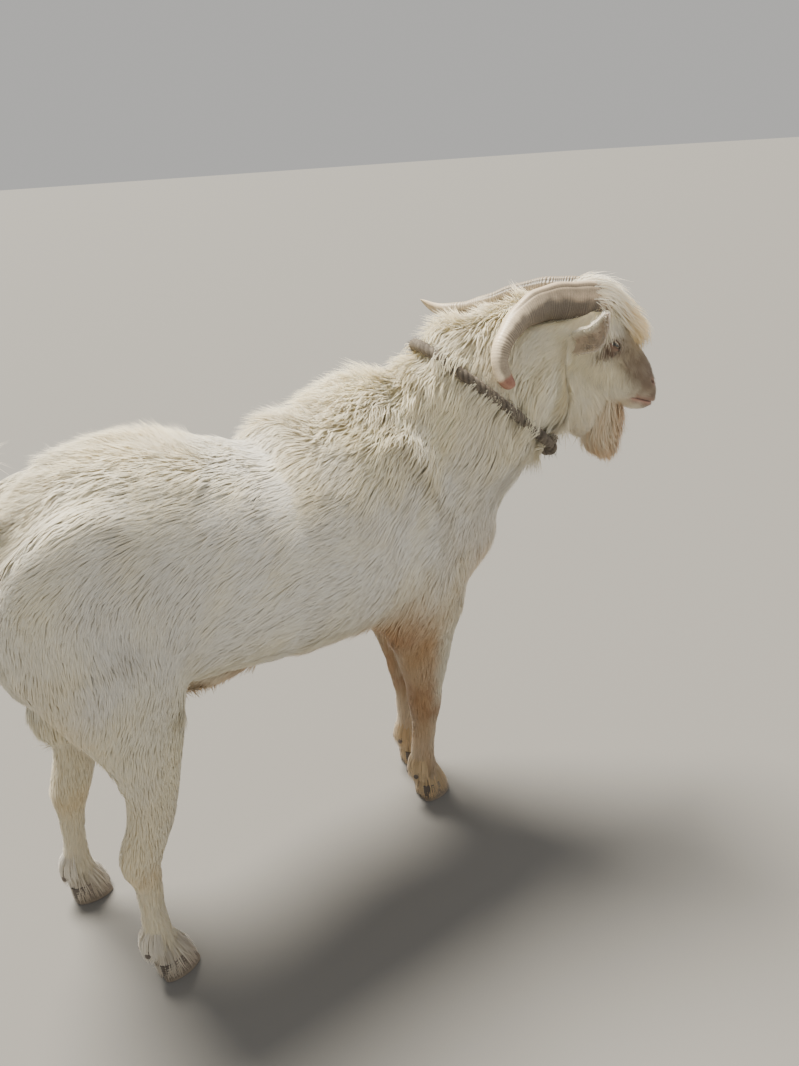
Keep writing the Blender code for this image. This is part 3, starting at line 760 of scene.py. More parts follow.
def feature_height(points):
    """How far the skin moves out along its normal for the brow, cheek, nose and lips."""
    down, fore = face_frame(points)
    along, height, out = head_of(points)
    above, line = mouth_offset(points)
    rise = 0.0028 * head_spot(points, 0.024, 0.7600, 0.046, (0.018, 0.007, 0.010))
    rise -= 0.0018 * head_spot(points, 0.054, 0.7270, 0.040, (0.008, 0.010, 0.012))
    beside, over = (along - 0.060) / 0.022, (height - (0.716 - 0.80 * (along - 0.045))) / 0.006
    crest = np.exp(-(over**2 + beside**2))
    rise += 0.0018 * crest * ramp(np.abs(out), 0.015, 0.03)
    rise -= 0.0016 * bump(above, 0, 0.0012) * line
    rise += 0.0013 * bump(above, 0.0048, 0.0032) * line + 0.0010 * bump(above, -0.0040, 0.0028) * line
    rise -= 0.0010 * bump(out, 0, 0.0013) * ramp(down, 0.172, 0.180) * ramp(fore, -0.030, -0.020)
    for side in (1, -1):
        slit, across, depth = nostril_offsets(points, side)
        here = np.exp(-((slit / 0.0068) ** 4)) * (depth < 0.012)
        rise -= 0.0060 * here * bump(across, 0, 0.0019)
        rise += 0.0013 * here * (bump(across, 0.0042, 0.0019) + 0.8 * bump(across, -0.0040, 0.0018))
    return rise * face_share(points)


face_points = points_of(skin.data)
shaped = face_points + normals_of(skin.data) * feature_height(face_points)[:, None]
for side in (1, -1):
    shaped = shape_lids(shaped, side)
move_skin(np.where((ear_share() < 0.5)[:, None], shaped, face_points))
print("face shaped")

# %% [markdown]
# ## Markings
#
# The buck is white, cream over the neck and withers, and stained tan where it lies and wets
# itself: behind the elbow, down the forelegs, along the front of the belly and on the beard.
# The muzzle is mottled grey-brown. One function of place says the colour, and both the skin
# and the hair ask it, so they always agree.

# %% Bare skin


def bare_share(points):
    """1 on the hairless rims: lips, nostrils, lids and the tip of the nose."""
    above, line = mouth_offset(points)
    found = line * bump(above, -0.0003, 0.0031)
    for side in (1, -1):
        slit, across, depth = nostril_offsets(points, side)
        found = np.maximum(found, np.exp(-((slit / 0.0085) ** 4) - (across / 0.0055) ** 2) * (depth < 0.014))
        x, y, z, upper, lower, beyond = eye_place(points, side)
        close = ramp(LID_HALF + 0.0035 - np.abs(x), 0, 0.002) * (z > 0)
        found = np.maximum(found, close * fall(beyond, 0.0012, 0.0034))
    return np.clip(found, 0, 1) * face_share(points)


# %% Colour by place
WHITE = np.array((0.84, 0.795, 0.680))
CREAM = np.array((0.95, 0.860, 0.610))
TAN = np.array((0.50, 0.290, 0.130))
RUST = np.array((0.34, 0.150, 0.055))
STRAW = np.array((0.80, 0.60, 0.30))
DUST = np.array((0.36, 0.285, 0.20))
SMUDGE = np.array((0.42, 0.39, 0.35))
MUZZLE = np.array((0.215, 0.145, 0.095))
SLATE = np.array((0.48, 0.43, 0.37))
BARE = np.array((0.44, 0.260, 0.205))
EAR_TAN = np.array((0.64, 0.530, 0.430))
EAR_FOLD = np.array((0.60, 0.465, 0.385))
LIP = np.array((0.42, 0.205, 0.160))
KHAKI = np.array((0.36, 0.280, 0.190))
# dark lashes, together with the painted shade round the eyes
LASH_AND_SHADE = np.array((0.160, 0.098, 0.066))
BELLY_TAN = np.array((0.66, 0.44, 0.25))
THROAT = np.array((0.82, 0.68, 0.46))
# how high the belly's edge is at these places forward
BELLY_LINE = ((0.12, 0.17, 0.20, 0.26, 0.29, 0.44), (0.372, 0.359, 0.357, 0.370, 0.388, 0.374))


def waves(count, scale, seed):
    """A smooth random field of place: the mean of cosines with random directions, about scale apart."""
    source = np.random.default_rng(seed)
    ways = unit(source.normal(size=(count, 3))) * (2 * math.pi / scale) * source.uniform(0.6, 1.5, (count, 1))
    starts = source.uniform(0, 2 * math.pi, count)

    def field(points):
        return np.cos(points @ ways.T + starts).mean(1) * math.sqrt(2 * count) / 1.4

    return field


BLOTCH = waves(14, 0.070, 1)
MOTTLE = waves(18, 0.016, 2)
SPECK = waves(18, 0.007, 3)


def mixed(colour, other, share):
    share = np.clip(share, 0, 1)[:, None]
    return colour * (1 - share) + other * share


def spot(points, forward, right, up, radii):
    """A bell round a place on the body."""
    f, r, u = goat_of(points)
    x, y, z = (f - forward) / radii[0], (r - right) / radii[1], (u - up) / radii[2]
    return np.exp(-(x**2 + y**2 + z**2))


def coat_colour(points, ear, ear_inside, ear_edge):
    """The coat's colour at each point, from the body's regions and a few stains, and some painted shade."""
    forward, right, up = goat_of(points)
    height = head_of(points)[1]
    blotch, mottle, speck = BLOTCH(points), MOTTLE(points), SPECK(points)
    colour = np.broadcast_to(WHITE, points.shape).copy()

    def paint(other, share):
        nonlocal colour
        colour = mixed(colour, other, share)

    def paint_spot(other, strength, *place):
        paint(other, face * strength * head_spot(points, *place))

    def most(*shares):
        found = shares[0]
        for share in shares[1:]:
            found = np.maximum(found, share)
        return found

    back = 0.75 * ramp(up, 0.60, 0.72) * fall(forward, 0.15, 0.30)
    cape = ramp(forward, 0.28, 0.42) * ramp(up, 0.56, 0.70) * 0.85
    paint(CREAM, most(cape, back, 0.55 * fall(forward, -0.03, 0.07)) + 0.18 * blotch)
    # lower thigh and belly a little yellower
    paint(CREAM, 0.7 * fall(up, 0.40, 0.52) + 0.15 * blotch)
    # the belly line behind the elbow, and the breast
    over_belly = up - np.interp(forward, *BELLY_LINE)
    strip = fall(over_belly, 0.004, 0.046) * ramp(forward, 0.11, 0.16) * fall(forward, 0.44, 0.50)
    paint(BELLY_TAN, 0.75 * strip * (up > 0.33))
    paint(BELLY_TAN, 0.72 * spot(points, 0.595, 0.0, 0.445, (0.065, 0.12, 0.070)))
    # forelegs: back and outside of the forearm, all of the shank; then the armpits
    fore = (forward > 0.30) * fall(up, 0.35, 0.45)
    # painted shade: the forelegs a little darker all over, and the rump and hip darker
    rump = 0.13 * fall(forward, 0.10, 0.24) * fall(up, 0.66, 0.75)
    colour = colour * (1 - 0.12 * fore * fall(forward, 0.60, 0.64) - rump)[:, None]
    behind = ramp(0.515 - forward, -0.012, 0.020)
    armpits = [spot(points, 0.455, side * 0.07, 0.394, (0.064, 0.10, 0.058)) for side in (1, -1)]
    below = 0.8 * spot(points, 0.40, 0.0, 0.365, (0.12, 0.10, 0.030))
    tan = most(*armpits, below, fore * (0.82 * behind + 0.10), fore * fall(up, 0.17, 0.24) * 0.72)
    paint(TAN, tan * (0.88 + 0.15 * blotch))
    knee = fore * bump(up, 0.198, 0.022) * (0.55 + 0.45 * bump(forward, 0.525, 0.03))
    elbow = 0.75 * spot(points, 0.448, 0.07, 0.378, (0.030, 0.08, 0.022))
    rust = most(0.85 * knee, 0.55 * fore * behind * bump(up, 0.225, 0.045), elbow)
    paint(RUST, rust * (0.8 + 0.2 * mottle))
    # hind legs: straw at the hocks and down the back of the thigh
    hind = (forward < 0.25) * fall(up, 0.30, 0.42)
    paint(STRAW, hind * (0.16 + 0.40 * bump(up, 0.195, 0.022)))
    paint(STRAW, 0.45 * spot(points, -0.02, 0.09, 0.46, (0.04, 0.05, 0.07)))
    # dusty feet, and darker still low at the back of each foot
    paint(DUST, fall(up, 0.030, 0.095) * (0.55 + 0.35 * mottle))
    heel = ramp(0.03 - np.where(forward > 0.25, forward - 0.50, forward), 0, 0.03)
    paint(DUST * 0.7, fall(up, 0.045, 0.075) * heel * 0.6)
    # faint smudge on the thigh, and the tail
    paint(SMUDGE, 0.50 * spot(points, 0.062, 0.135, 0.535, (0.020, 0.05, 0.012)) * (0.8 + 0.4 * mottle))
    paint(STRAW, fall(forward, -0.06, -0.03) * ramp(up, 0.62, 0.68) * 0.55)
    # face: grey temples, khaki bridge, brown muzzle, dark lashes with painted shade round the eyes, cream
    # throat
    face = face_share(points)
    down, front = face_frame(points)
    grey = face * 0.55 * head_spot(points, 0.045, 0.752, 0.045, (0.030, 0.022, 0.02))
    paint(SLATE, grey + face * 0.20 * mottle * ramp(down, 0.03, 0.09))
    paint(KHAKI, face * 0.88 * ramp(down, 0.040, 0.070) * ramp(front, -0.036, -0.010))
    bridge = face * 0.92 * ramp(down, 0.070, 0.120) * ramp(front, -0.045, -0.005)
    paint(MUZZLE, bridge * (0.82 + 0.30 * mottle))
    paint(MUZZLE, face * 0.80 * ramp(down, 0.125, 0.158) * (0.8 + 0.4 * mottle) * ramp(front, -0.055, -0.030))
    paint_spot(STRAW, 0.62, 0.085, 0.750, 0.0, (0.035, 0.030, 0.035))
    # dark lashes, and painted shade round each eye
    paint_spot(LASH_AND_SHADE, 0.80, 0.026, 0.7335, 0.046, (0.017, 0.0085, 0.02))
    paint_spot(LASH_AND_SHADE * 0.8, 0.70, 0.030, 0.7400, 0.046, (0.016, 0.0095, 0.02))
    paint(THROAT, face * 0.75 * fall(height, 0.605, 0.675) * fall(down, 0.13, 0.16))
    paint_spot(THROAT, 0.75, 0.042, 0.652, 0.0, (0.034, 0.018, 0.06))
    # ears: white along the upper edge, tan below and darker at the lower edge with painted shade, and bare
    # and pinkish within the fold
    leaf = mixed(np.broadcast_to(EAR_TAN, points.shape), WHITE, fall(ear_edge, -0.85, -0.15))
    # painted shade along the lower edge
    leaf = mixed(leaf, EAR_TAN * 0.75, ramp(ear_edge, 0.45, 0.95) * 0.6)
    leaf = mixed(leaf, EAR_FOLD, ramp(ear_inside, 0.35, 0.85))
    paint(leaf * (0.96 + 0.08 * mottle[:, None]), ear * 0.9)
    # lids, lips and nostrils
    paint(BARE * (0.85 + 0.12 * mottle[:, None]), bare_share(points) * 0.85)
    # more painted shade round each eye
    paint_spot(LASH_AND_SHADE, 0.65, 0.027, 0.7365, 0.046, (0.018, 0.0095, 0.02))
    above, line = mouth_offset(points)
    paint(LIP, face * 0.60 * line * bump(above, -0.0005, 0.0065))
    # painted shade in the mouth line and inside the nostrils, with a dark line along the lids' rims
    dark = line * bump(above, 0, 0.0011) * face
    for side in (1, -1):
        x, y, z, upper, lower, beyond = eye_place(points, side)
        rim = bump(beyond, 0.0002, 0.0010) * (z > 0) * (np.abs(x) < LID_HALF * 1.15)
        slit, across, depth = nostril_offsets(points, side)
        nostril = np.exp(-((slit / 0.0068) ** 4) - (across / 0.0021) ** 2) * (depth < 0.012)
        dark = most(dark, 0.9 * rim, nostril)
    paint(BARE * 0.16, dark)
    return np.clip(colour * (1 + 0.035 * speck[:, None]), 0.02, 0.95)


# %% [markdown]
# ## The lie of the coat
#
# Hair grows in streams: back along the flank, down the thigh and legs, back and down the neck,
# down the face. A plan gives each root its direction, length, height at the tip, width and
# spacing. Over the rump and the withers the hair stands almost upright, elsewhere it lies.

# %% Plan of the hair
STREAM = waves(12, 0.16, 5)
STREAM_2 = waves(12, 0.055, 6)


def lie_of(points, normals, ear):
    """Unit directions in which the hair lies, square to the normals."""
    forward, right, up = goat_of(points)
    along, height, out = head_of(points)
    one = np.ones(len(points))
    side = np.sign(right)
    way = world_way(-one, 0 * one, -0.26 * one)

    def turn_to(share, *direction):
        nonlocal way
        way = mixed(way, world_way(*[part * one for part in direction]), share)

    turn_to(fall(forward, 0.07, 0.21) * fall(up, 0.52, 0.66), -0.12, 0, -1)
    turn_to(fall(forward, -0.05, 0.02) * fall(up, 0.60, 0.68), -0.12, 0, -1)
    turn_to(ramp(forward, 0.36, 0.48) * fall(up, 0.44, 0.58), -0.35, 0, -1)
    turn_to(ramp(forward, 0.55, 0.62) * fall(up, 0.50, 0.60), -0.10, 0, -1)
    turn_to(ramp(forward, 0.34, 0.46) * ramp(up, 0.56, 0.66), -1, 0.35 * side, -0.62)
    turn_to(ramp(forward, 0.56, 0.64) * ramp(up, 0.56, 0.66), -0.80, 0.2 * side, -0.95)
    turn_to(ramp(forward, 0.54, 0.60) * ramp(up, 0.70, 0.76), -1, 0.5 * side, -0.35)
    turn_to(fall(up, 0.34, 0.40), -0.08, 0, -1)
    turn_to(tail_share(forward, up), 0.1, 0, 1)
    # the head: down the face, down and back on the cheek, and out along the ear
    face = face_share(points)
    cheek = (ramp(np.abs(out), 0.015, 0.04) * fall(head_down(points), 0.11, 0.15))[:, None]
    muzzle_way = head_way(FACE_ALONG[0] * one, FACE_ALONG[1] * one, 0.15 * np.sign(out))
    cheek_way = head_way(-0.12 - 0.50 * fall(along, -0.020, 0.030), -one, 0 * one)
    ear_way = head_way(0.05 * one, 0.45 * one, np.sign(out))
    way = mixed(way, muzzle_way * (1 - cheek) + cheek_way * cheek, face)
    way = mixed(way, ear_way, ear)
    # low and slow turns of the stream
    calm = 1 - 0.7 * np.maximum(face, ear)
    way = way + np.cross(normals, way) * ((0.15 * STREAM(points) + 0.07 * STREAM_2(points)) * calm)[:, None]
    return unit(way - normals * np.einsum("ij,ij->i", way, normals)[:, None])


def hair_plan(points, ear):
    """Length, half width and spacing of the hair, each a mix of the regions' own."""
    forward, right, up = goat_of(points)
    height = head_of(points)[1]
    down, face = head_down(points), face_share(points)
    crest = bump(right, 0, 0.085) * ramp(up, 0.58, 0.68) * fall(forward, 0.20, 0.30)
    behind_cape = ramp(forward, 0.28, 0.34) * fall(forward, 0.40, 0.50) * ramp(up, 0.58, 0.66)
    nose = face * ramp(down, 0.035, 0.09) * ramp(height, 0.66, 0.71)
    throat = face * fall(height, 0.64, 0.68) * fall(down, 0.15, 0.17)
    # where, then length, half width and spacing there; each row covers those before it
    regions = (
        (crest, 0.038, 0.00090, 0.0033),
        (ramp(forward, 0.30, 0.38) * ramp(up, 0.52, 0.64), 0.056, 0.00105, 0.0036),
        (behind_cape, 0.044, 0.00100, 0.0034),
        (ramp(forward, 0.52, 0.60) * ramp(up, 0.42, 0.52), 0.045, 0.00102, 0.0034),
        (fall(forward, 0.08, 0.20) * fall(up, 0.50, 0.62), 0.032, 0.00135, 0.0039),
        (ramp(forward, 0.38, 0.48) * fall(up, 0.42, 0.52), 0.030, 0.00130, 0.0038),
        (fall(up, 0.28, 0.40), 0.019, 0.00105, 0.0034),
        (fall(up, 0.12, 0.22), 0.015, 0.00090, 0.0031),
        (fall(up, 0.055, 0.110), 0.026, 0.00095, 0.0030),
        (tail_share(forward, up), 0.040, 0.00095, 0.0033),
        (face, 0.026, 0.00095, 0.0031),
        (nose, 0.0110, 0.00075, 0.0027),
        (throat, 0.034, 0.00095, 0.0031),
        (face * ramp(down, 0.120, 0.155), 0.0065, 0.00055, 0.0023),
        (under_horn(points), 0.019, 0.00085, 0.0029),
        (ear, 0.0070, 0.00065, 0.0026),
    )
    plan = np.broadcast_to(np.array((0.037, 0.00150, 0.0041)), (len(points), 3)).copy()
    for share, *values in regions:
        plan = mixed(plan, np.array(values), share)
    return plan.T


print("coat plan ready")

# %% Curvature and places on the skin
BEND_LEAST, BEND_MOST = -18, 60        # the curvature that hair follows, as 1 / metres


def skin_tables():
    """Triangles of the skin with their corners' points, normals, map places and ear marks."""
    mesh = skin.data
    mesh.calc_loop_triangles()
    corners = read_all(mesh.loop_triangles, "vertices", 3, int)
    loops = read_all(mesh.loop_triangles, "loops", 3, int)
    places = read_all(mesh.uv_layers["OFBake"].uv, "vector", 2)
    marks = {key: read_all(mesh.attributes[key].data, "value", 1)[:, 0] for key in EAR_KEYS}
    return points_of(mesh), normals_of(mesh), corners, places[loops], marks


def curvature_along(points, normals, edges, ways):
    """How fast the surface falls away in the direction of the lie, as 1 / radius: the change of normal
    over each edge, weighted by how well the edge follows the lie."""
    total, weight = np.zeros(len(points)), np.full(len(points), 1e-6)
    for a, b in ((0, 1), (1, 0)):
        here, there = edges[:, a], edges[:, b]
        step = points[there] - points[here]
        square = np.maximum((step**2).sum(1), 1e-10)
        bend = ((normals[there] - normals[here]) * step).sum(1) / square
        match = ((step * ways[here]).sum(1) ** 2 / square) ** 2
        total += np.bincount(here, weights=bend * match, minlength=len(points))
        weight += np.bincount(here, weights=match, minlength=len(points))
    return np.clip(blurred(total / weight, edges, 4), BEND_LEAST, BEND_MOST)


vertex_points, vertex_normals, corners, corner_places, marks = skin_tables()
ear, ear_inside, ear_edge = (marks[key] for key in ("ear", "ear_inside", "ear_edge"))
vertex_ways = lie_of(vertex_points, vertex_normals, ear)
vertex_bend = curvature_along(vertex_points, vertex_normals, edges_of(skin.data), vertex_ways)
vertex_depth = coat_depth(vertex_points + vertex_normals * 0.008)
vertex_plan = [*hair_plan(vertex_points, ear), vertex_bend, vertex_depth, ear, ear_inside, ear_edge]
vertex_plan = np.stack(vertex_plan, -1)
vertex_place = np.zeros((len(vertex_points), 2))
vertex_place[corners.ravel()] = corner_places.reshape(-1, 2)

CANDIDATES = 2.6               # how many places are tried for each root that is kept
CELL_PRIMES = (73856093, 19349663, 83492791)


def scattered(seed, tighter=1.0):
    """Roots over the skin: candidates in step with area over spacing squared, then one kept per small
    cell of space, so that they lie evenly with no rows."""
    source = np.random.default_rng(seed)
    sides = vertex_points[corners]
    area = np.linalg.norm(np.cross(sides[:, 1] - sides[:, 0], sides[:, 2] - sides[:, 0]), axis=1) / 2
    spacing = vertex_plan[corners, 2].mean(1) * tighter
    reach = np.cumsum(area / spacing**2 * CANDIDATES)
    picks = np.searchsorted(reach, np.arange(source.uniform(), reach[-1], 1.0))
    first, second = source.uniform(size=(2, len(picks)))
    flip = first + second > 1
    first, second = np.where(flip, 1 - first, first), np.where(flip, 1 - second, second)
    share = np.stack([1 - first - second, first, second], -1)
    roots = (vertex_points[corners[picks]] * share[..., None]).sum(1)
    step = np.exp(np.round(np.log(spacing[picks]) * 8) / 8)
    cell = np.floor(roots / (step * 0.92)[:, None] + 0.37).astype(np.int64)
    x, y, z = (cell[:, axis] * prime for axis, prime in enumerate(CELL_PRIMES))
    key = (x ^ y ^ z) * 64 + np.round(np.log(step) * 8).astype(int)
    kept = np.sort(np.unique(key, return_index=True)[1])
    kept = kept[bare_share(roots[kept]) < 0.45]
    picks, share, roots = picks[kept], share[kept], roots[kept]

    def carried(values):
        return (values[corners[picks]] * share.reshape(share.shape + (1,) * (values.ndim - 1))).sum(1)

    places = (corner_places[picks] * share[..., None]).sum(1)
    return roots, unit(carried(vertex_normals)), carried(vertex_ways), carried(vertex_plan), places


print("skin map", corner_places.min().round(3), corner_places.max().round(3))

# %% [markdown]
# ## Tufts
#
# A tuft is a thin closed sliver with a three-cornered section: broad near the root, drawn to a
# point at the tip. More than a hundred thousand are needed, so each has only a few rings, and
# all the tufts of a piece are worked out together as arrays.

# %% The tuft builder
PATCH = 0.0015                 # half the width of a tuft's patch on the map
SECTION = ((-1.0, -0.25), (1.0, -0.25), (0.0, 1.0))
SECTION_ON_MAP = np.array((-1.0, -0.33, 0.33, 1.0))


def tuft_faces(rings):
    """Faces of one tuft as corner numbers, and each corner's place on the tuft's patch, from -1 to 1."""
    faces, sheet = [], []
    along, turn = np.append(np.arange(rings) / rings, 1.0) * 2 - 1, SECTION_ON_MAP
    for k in range(rings):
        for j in range(3):
            a, b = 3 * k + j, 3 * k + (j + 1) % 3
            u0, u1, v0, v1 = turn[j], turn[j + 1], along[k], along[k + 1]
            if k < rings - 1:
                faces += [(a, b, b + 3), (a, b + 3, a + 3)]
                sheet += [((u0, v0), (u1, v0), (u1, v1)), ((u0, v0), (u1, v1), (u0, v1))]
            else:
                faces.append((a, b, rings * 3))
                sheet.append(((u0, v0), (u1, v0), ((u0 + u1) / 2, 1.0)))
    faces.append((0, 2, 1))
    sheet.append(((-1.0, -1.0), (0.0, -0.8), (1.0, -1.0)))
    return np.array(faces), np.array(sheet)


def tuft_mesh(name, paths, half_width, across, thick, places, shade, colour, under, taper=0.85):
    """Closed slivers along paths (count, m + 1, 3): m three-cornered rings and a tip.

    Ring width = half_width * (0.75 + 1.3 s)(1 - s)^taper for s from 0 at the root to 1 at the tip.
    """
    count, rings = paths.shape[0], paths.shape[1] - 1
    s = np.arange(rings) / rings
    width = half_width[:, None] * ((0.75 + 1.3 * s) * (1 - s) ** taper)[None]
    run = unit(np.gradient(paths, axis=1))[:, :rings]
    wide = unit(across[:, None] - run * np.einsum("nj,nmj->nm", across, run)[..., None])
    rise = np.cross(run, wide)
    base = paths[:, :rings]
    body = [base + wide * (width * x)[..., None] + rise * (width * thick * y)[..., None] for x, y in SECTION]
    points = np.concatenate([np.stack(body, 2).reshape(count, rings * 3, 3), paths[:, -1:]], 1)
    each = rings * 3 + 1
    faces, sheet = tuft_faces(rings)
    index = (np.arange(count)[:, None, None] * each + faces).reshape(-1)
    total = count * len(faces)
    mesh = bpy.data.meshes.new(name)
    mesh.vertices.add(count * each)
    mesh.vertices.foreach_set("co", points.ravel().astype(np.float32))
    mesh.loops.add(total * 3)
    mesh.loops.foreach_set("vertex_index", index.astype(np.int32))
    mesh.polygons.add(total)
    mesh.polygons.foreach_set("loop_start", (np.arange(total) * 3).astype(np.int32))
    mesh.polygons.foreach_set("use_smooth", np.ones(total, bool))
    mesh.update(calc_edges=True)
    # shade each tuft a little as if it were the coat's own surface, except on faces turned away
    flat = points[np.arange(count)[:, None, None], faces[None]]
    facing = unit(np.cross(flat[:, :, 1] - flat[:, :, 0], flat[:, :, 2] - flat[:, :, 0]))
    soft = unit(0.20 * facing + 0.95 * under[:, None])
    agree = (soft * facing).sum(-1, keepdims=True) > 0.08
    corner_ways = np.repeat(np.where(agree, soft, facing).reshape(-1, 1, 3), 3, axis=1)
    mesh.normals_split_custom_set(corner_ways.reshape(-1, 3))
    layer = mesh.uv_layers.new(name="OFBake")
    layer.uv.foreach_set("vector", (places[:, None, None] + sheet * PATCH).ravel().astype(np.float32))
    # strand sets the streaks: how far round the tuft, and which of 61 streams the tuft reads
    strand = np.append(np.tile((0.0, 2.0, 1.0), rings), 1.0) + 37.0 * np.floor(shade * 997 % 61)[:, None]
    give(mesh, "tip", np.tile(np.append(np.repeat(s, 3), 1.0), count))
    give(mesh, "shade", np.repeat(shade, each))
    give(mesh, "strand", strand)
    give_tint(mesh, np.repeat(colour, each, axis=0))
    return mesh


# %% Coat material
COAT_SETTINGS = {
    "Subsurface Weight": 0.35,
    "Subsurface Radius": (1.0, 0.8, 0.6),
    "Subsurface Scale": 0.004,
    "Specular IOR Level": 0.30,
    "Sheen Weight": 0.25,
    "Sheen Roughness": 0.5,
}


def coat_material():
    """Hair takes its tint from the place of its root, darker at the root and brighter at the tip as painted
    shade, and each tuft is a shade lighter or darker than its neighbours."""
    look, tree, shader, add = new_material("coat_hair", 0.55)
    tip = attribute(add, "tip")
    place = add("ShaderNodeCombineXYZ", X=attribute(add, "strand"), Y=tip)
    streaks = add("ShaderNodeTexNoise", Vector=place.outputs[0], Scale=3.2, Detail=2.0).outputs[0]
    # painted shade: each hair darker towards its root
    deep = spread_over(add, tip, 0.0, 1.0, 0.95, 1.04)
    own = spread_over(add, attribute(add, "shade"), 0.0, 1.0, 0.93, 1.05)
    fine = spread_over(add, streaks, 0.25, 0.75, 0.92, 1.07)
    scaled_tint(tree, shader, add, maths(add, "MULTIPLY", maths(add, "MULTIPLY", deep, own), fine))
    bumped(tree, shader, add, streaks, 0.5, 0.0004)
    for key, value in COAT_SETTINGS.items():
        shader.inputs[key].default_value = value
    return look


coat_look = coat_material()

# %% Body hair
FLUFF = waves(16, 0.026, 8)
LEAN = waves(16, 0.034, 9)
LEAN_2 = waves(16, 0.012, 10)
CLUMP = waves(20, 0.010, 11)
OVER = waves(10, 0.045, 12)
COLLAR_MIDDLE = at(0.634, 0.050, 0.683)
COLLAR_AXIS = unit(world_way(0.643, 0.158, 0.748))
MOST_TRIANGLES = 190000
SHORT, LONG = 0.022, 0.046     # the lengths at which hair takes more rings or a piece of its own


def hair_paths(roots, normals, ways, plan, rings, source):
    """Root, and m places along a hair: out along the lie, lifted h(s) = H (1 - (1 - s)^p), drawn down
    by the surface's own bend (L s)^2 k / 2 and swayed by slow waves that neighbours share."""
    length, bend, depth = plan[:, (0, 3, 4)].T
    count = len(roots)
    length = length * source.uniform(0.75, 1.2, count)
    upright = np.clip(depth / np.maximum(length, 1e-4), 0.12, 0.98)
    height = depth * source.uniform(0.80, 1.06, count) * (1 + 0.10 * FLUFF(roots))
    height = np.minimum(height, length * 0.97)
    level = np.sqrt(np.maximum(length**2 - height**2, (0.15 * length) ** 2))
    s = np.linspace(0, 1, rings + 1)[None]
    across = np.cross(normals, ways)
    loose = ramp(depth, 0.010, 0.030)
    lean = (0.08 + 0.14 * loose) * LEAN(roots) + (0.03 + 0.10 * loose) * LEAN_2(roots)
    sway = (lean + source.normal(0, 0.05, count)) * length
    settle = 1 - 0.22 * fall(upright, 0.18, 0.55)[:, None] * s**3
    lift = height[:, None] * (1 - (1 - s) ** (1.2 + 0.9 * (1 - upright))[:, None]) * settle
    ahead = level[:, None] * s
    drop = np.clip(0.5 * bend[:, None] * ahead**2, -0.4 * level[:, None], 1.2 * level[:, None])
    paths = roots[:, None] + ways[:, None] * ahead[..., None]
    paths = paths + normals[:, None] * (lift - drop - 0.0006)[..., None]
    paths += across[:, None] * (sway[:, None] * s**1.5)[..., None]
    droop = np.clip(length - 0.030, 0, 1)[:, None] * (s**2) * 0.30
    paths[..., 2] -= droop * ramp(1 - normals[:, 2], 0.2, 0.9)[:, None]
    # some locks of the neck fall over the rope, and no hair goes through the floor
    beyond = (paths - COLLAR_MIDDLE) @ COLLAR_AXIS
    near = (np.linalg.norm(roots - COLLAR_MIDDLE, axis=1) < 0.22) & (beyond[:, 0] > 0.002)
    near = near & (OVER(roots) > -0.30)
    paths += normals[:, None] * (0.017 * bump(beyond, -0.002, 0.014) * near[:, None])[..., None]
    paths[..., 2] = np.maximum(paths[..., 2], 0.0015 + 0.006 * source.uniform(0, 1, count)[:, None])
    return paths, across


def body_hair():
    """The coat in three classes of length, each cut into pieces by how far back its roots are."""
    source = np.random.default_rng(31)
    roots, normals, ways, plan, places = scattered(30, 0.95)
    ways = unit(ways - normals * (ways * normals).sum(1, keepdims=True))
    colour = coat_colour(roots, *plan[:, 5:8].T)
    shade = np.clip(0.5 + 0.22 * CLUMP(roots) + source.normal(0, 0.20, len(roots)), 0, 1)
    length = plan[:, 0]
    short, long = length < SHORT, length >= LONG
    classes = [("short", short, 2), ("middle", ~short & ~long, 2), ("long", long, 3)]
    print("roots", len(roots), {word: int(mask.sum()) for word, mask, rings in classes})
    for word, mask, rings in classes:
        chosen = np.nonzero(mask)[0]
        paths, across = hair_paths(roots[chosen], normals[chosen], ways[chosen], plan[chosen], rings, source)
        pieces = max(1, math.ceil(len(chosen) * (rings * 6 - 2) / MOST_TRIANGLES))
        order = np.argsort(roots[chosen][:, 1], kind="stable")
        for number, part in enumerate(np.array_split(order, pieces)):
            name, own = "coat_" + word + "_" + str(number + 1), chosen[part]
            looks = places[own], shade[own], colour[own], normals[own]
            mesh = tuft_mesh(name, paths[part], plan[own, 1], across[part], 0.30, *looks)
            finish_piece(name, mesh, coat_look, "coat")
            print(name, len(mesh.polygons), "triangles")


body_hair()

# %% The skin's own tint
give_tint(skin.data, coat_colour(vertex_points, ear, ear_inside, ear_edge))

# %% Pieces of long hair


def places_near(points, chosen):
    """The map's place at the nearest of the chosen skin vertices, for each point."""
    tree = KDTree(len(chosen))
    for number, index in enumerate(chosen.tolist()):
        tree.insert(vertex_points[index], number)
    tree.balance()
    return vertex_place[chosen[[tree.find(point)[1] for point in points]]]


def hair_piece(word, paths, outward, half, shade, colour, chosen, *nodes):
    across = np.cross(outward, paths[:, 2] - paths[:, 0])
    places = places_near(paths[:, 0], chosen)
    mesh = tuft_mesh(word, paths, half, across, 0.35, places, shade, colour, outward)
    print(word, len(mesh.polygons), "triangles")
    finish_piece("hair_" + word, mesh, coat_look, "coat", *nodes)

# %% [markdown]
# ## Eyes
#
# A goat's eye has an amber iris and a pupil that is a level slot. The ball is a sphere with a
# slightly fuller cornea; how far each point lies from the gaze, and how far along and above the
# slot, are kept as attributes that the material reads.

# %% Eyeballs
# how far from the gaze, in radii of the ball, and the colour there
IRIS = (
    (0.0, (0.16, 0.085, 0.025)),
    (0.45, (0.21, 0.12, 0.035)),
    (0.62, (0.10, 0.055, 0.020)),
    (0.70, (0.015, 0.010, 0.008)),
    (1.0, (0.08, 0.05, 0.035)),
)
PUPIL = (0.004, 0.004, 0.005, 1)


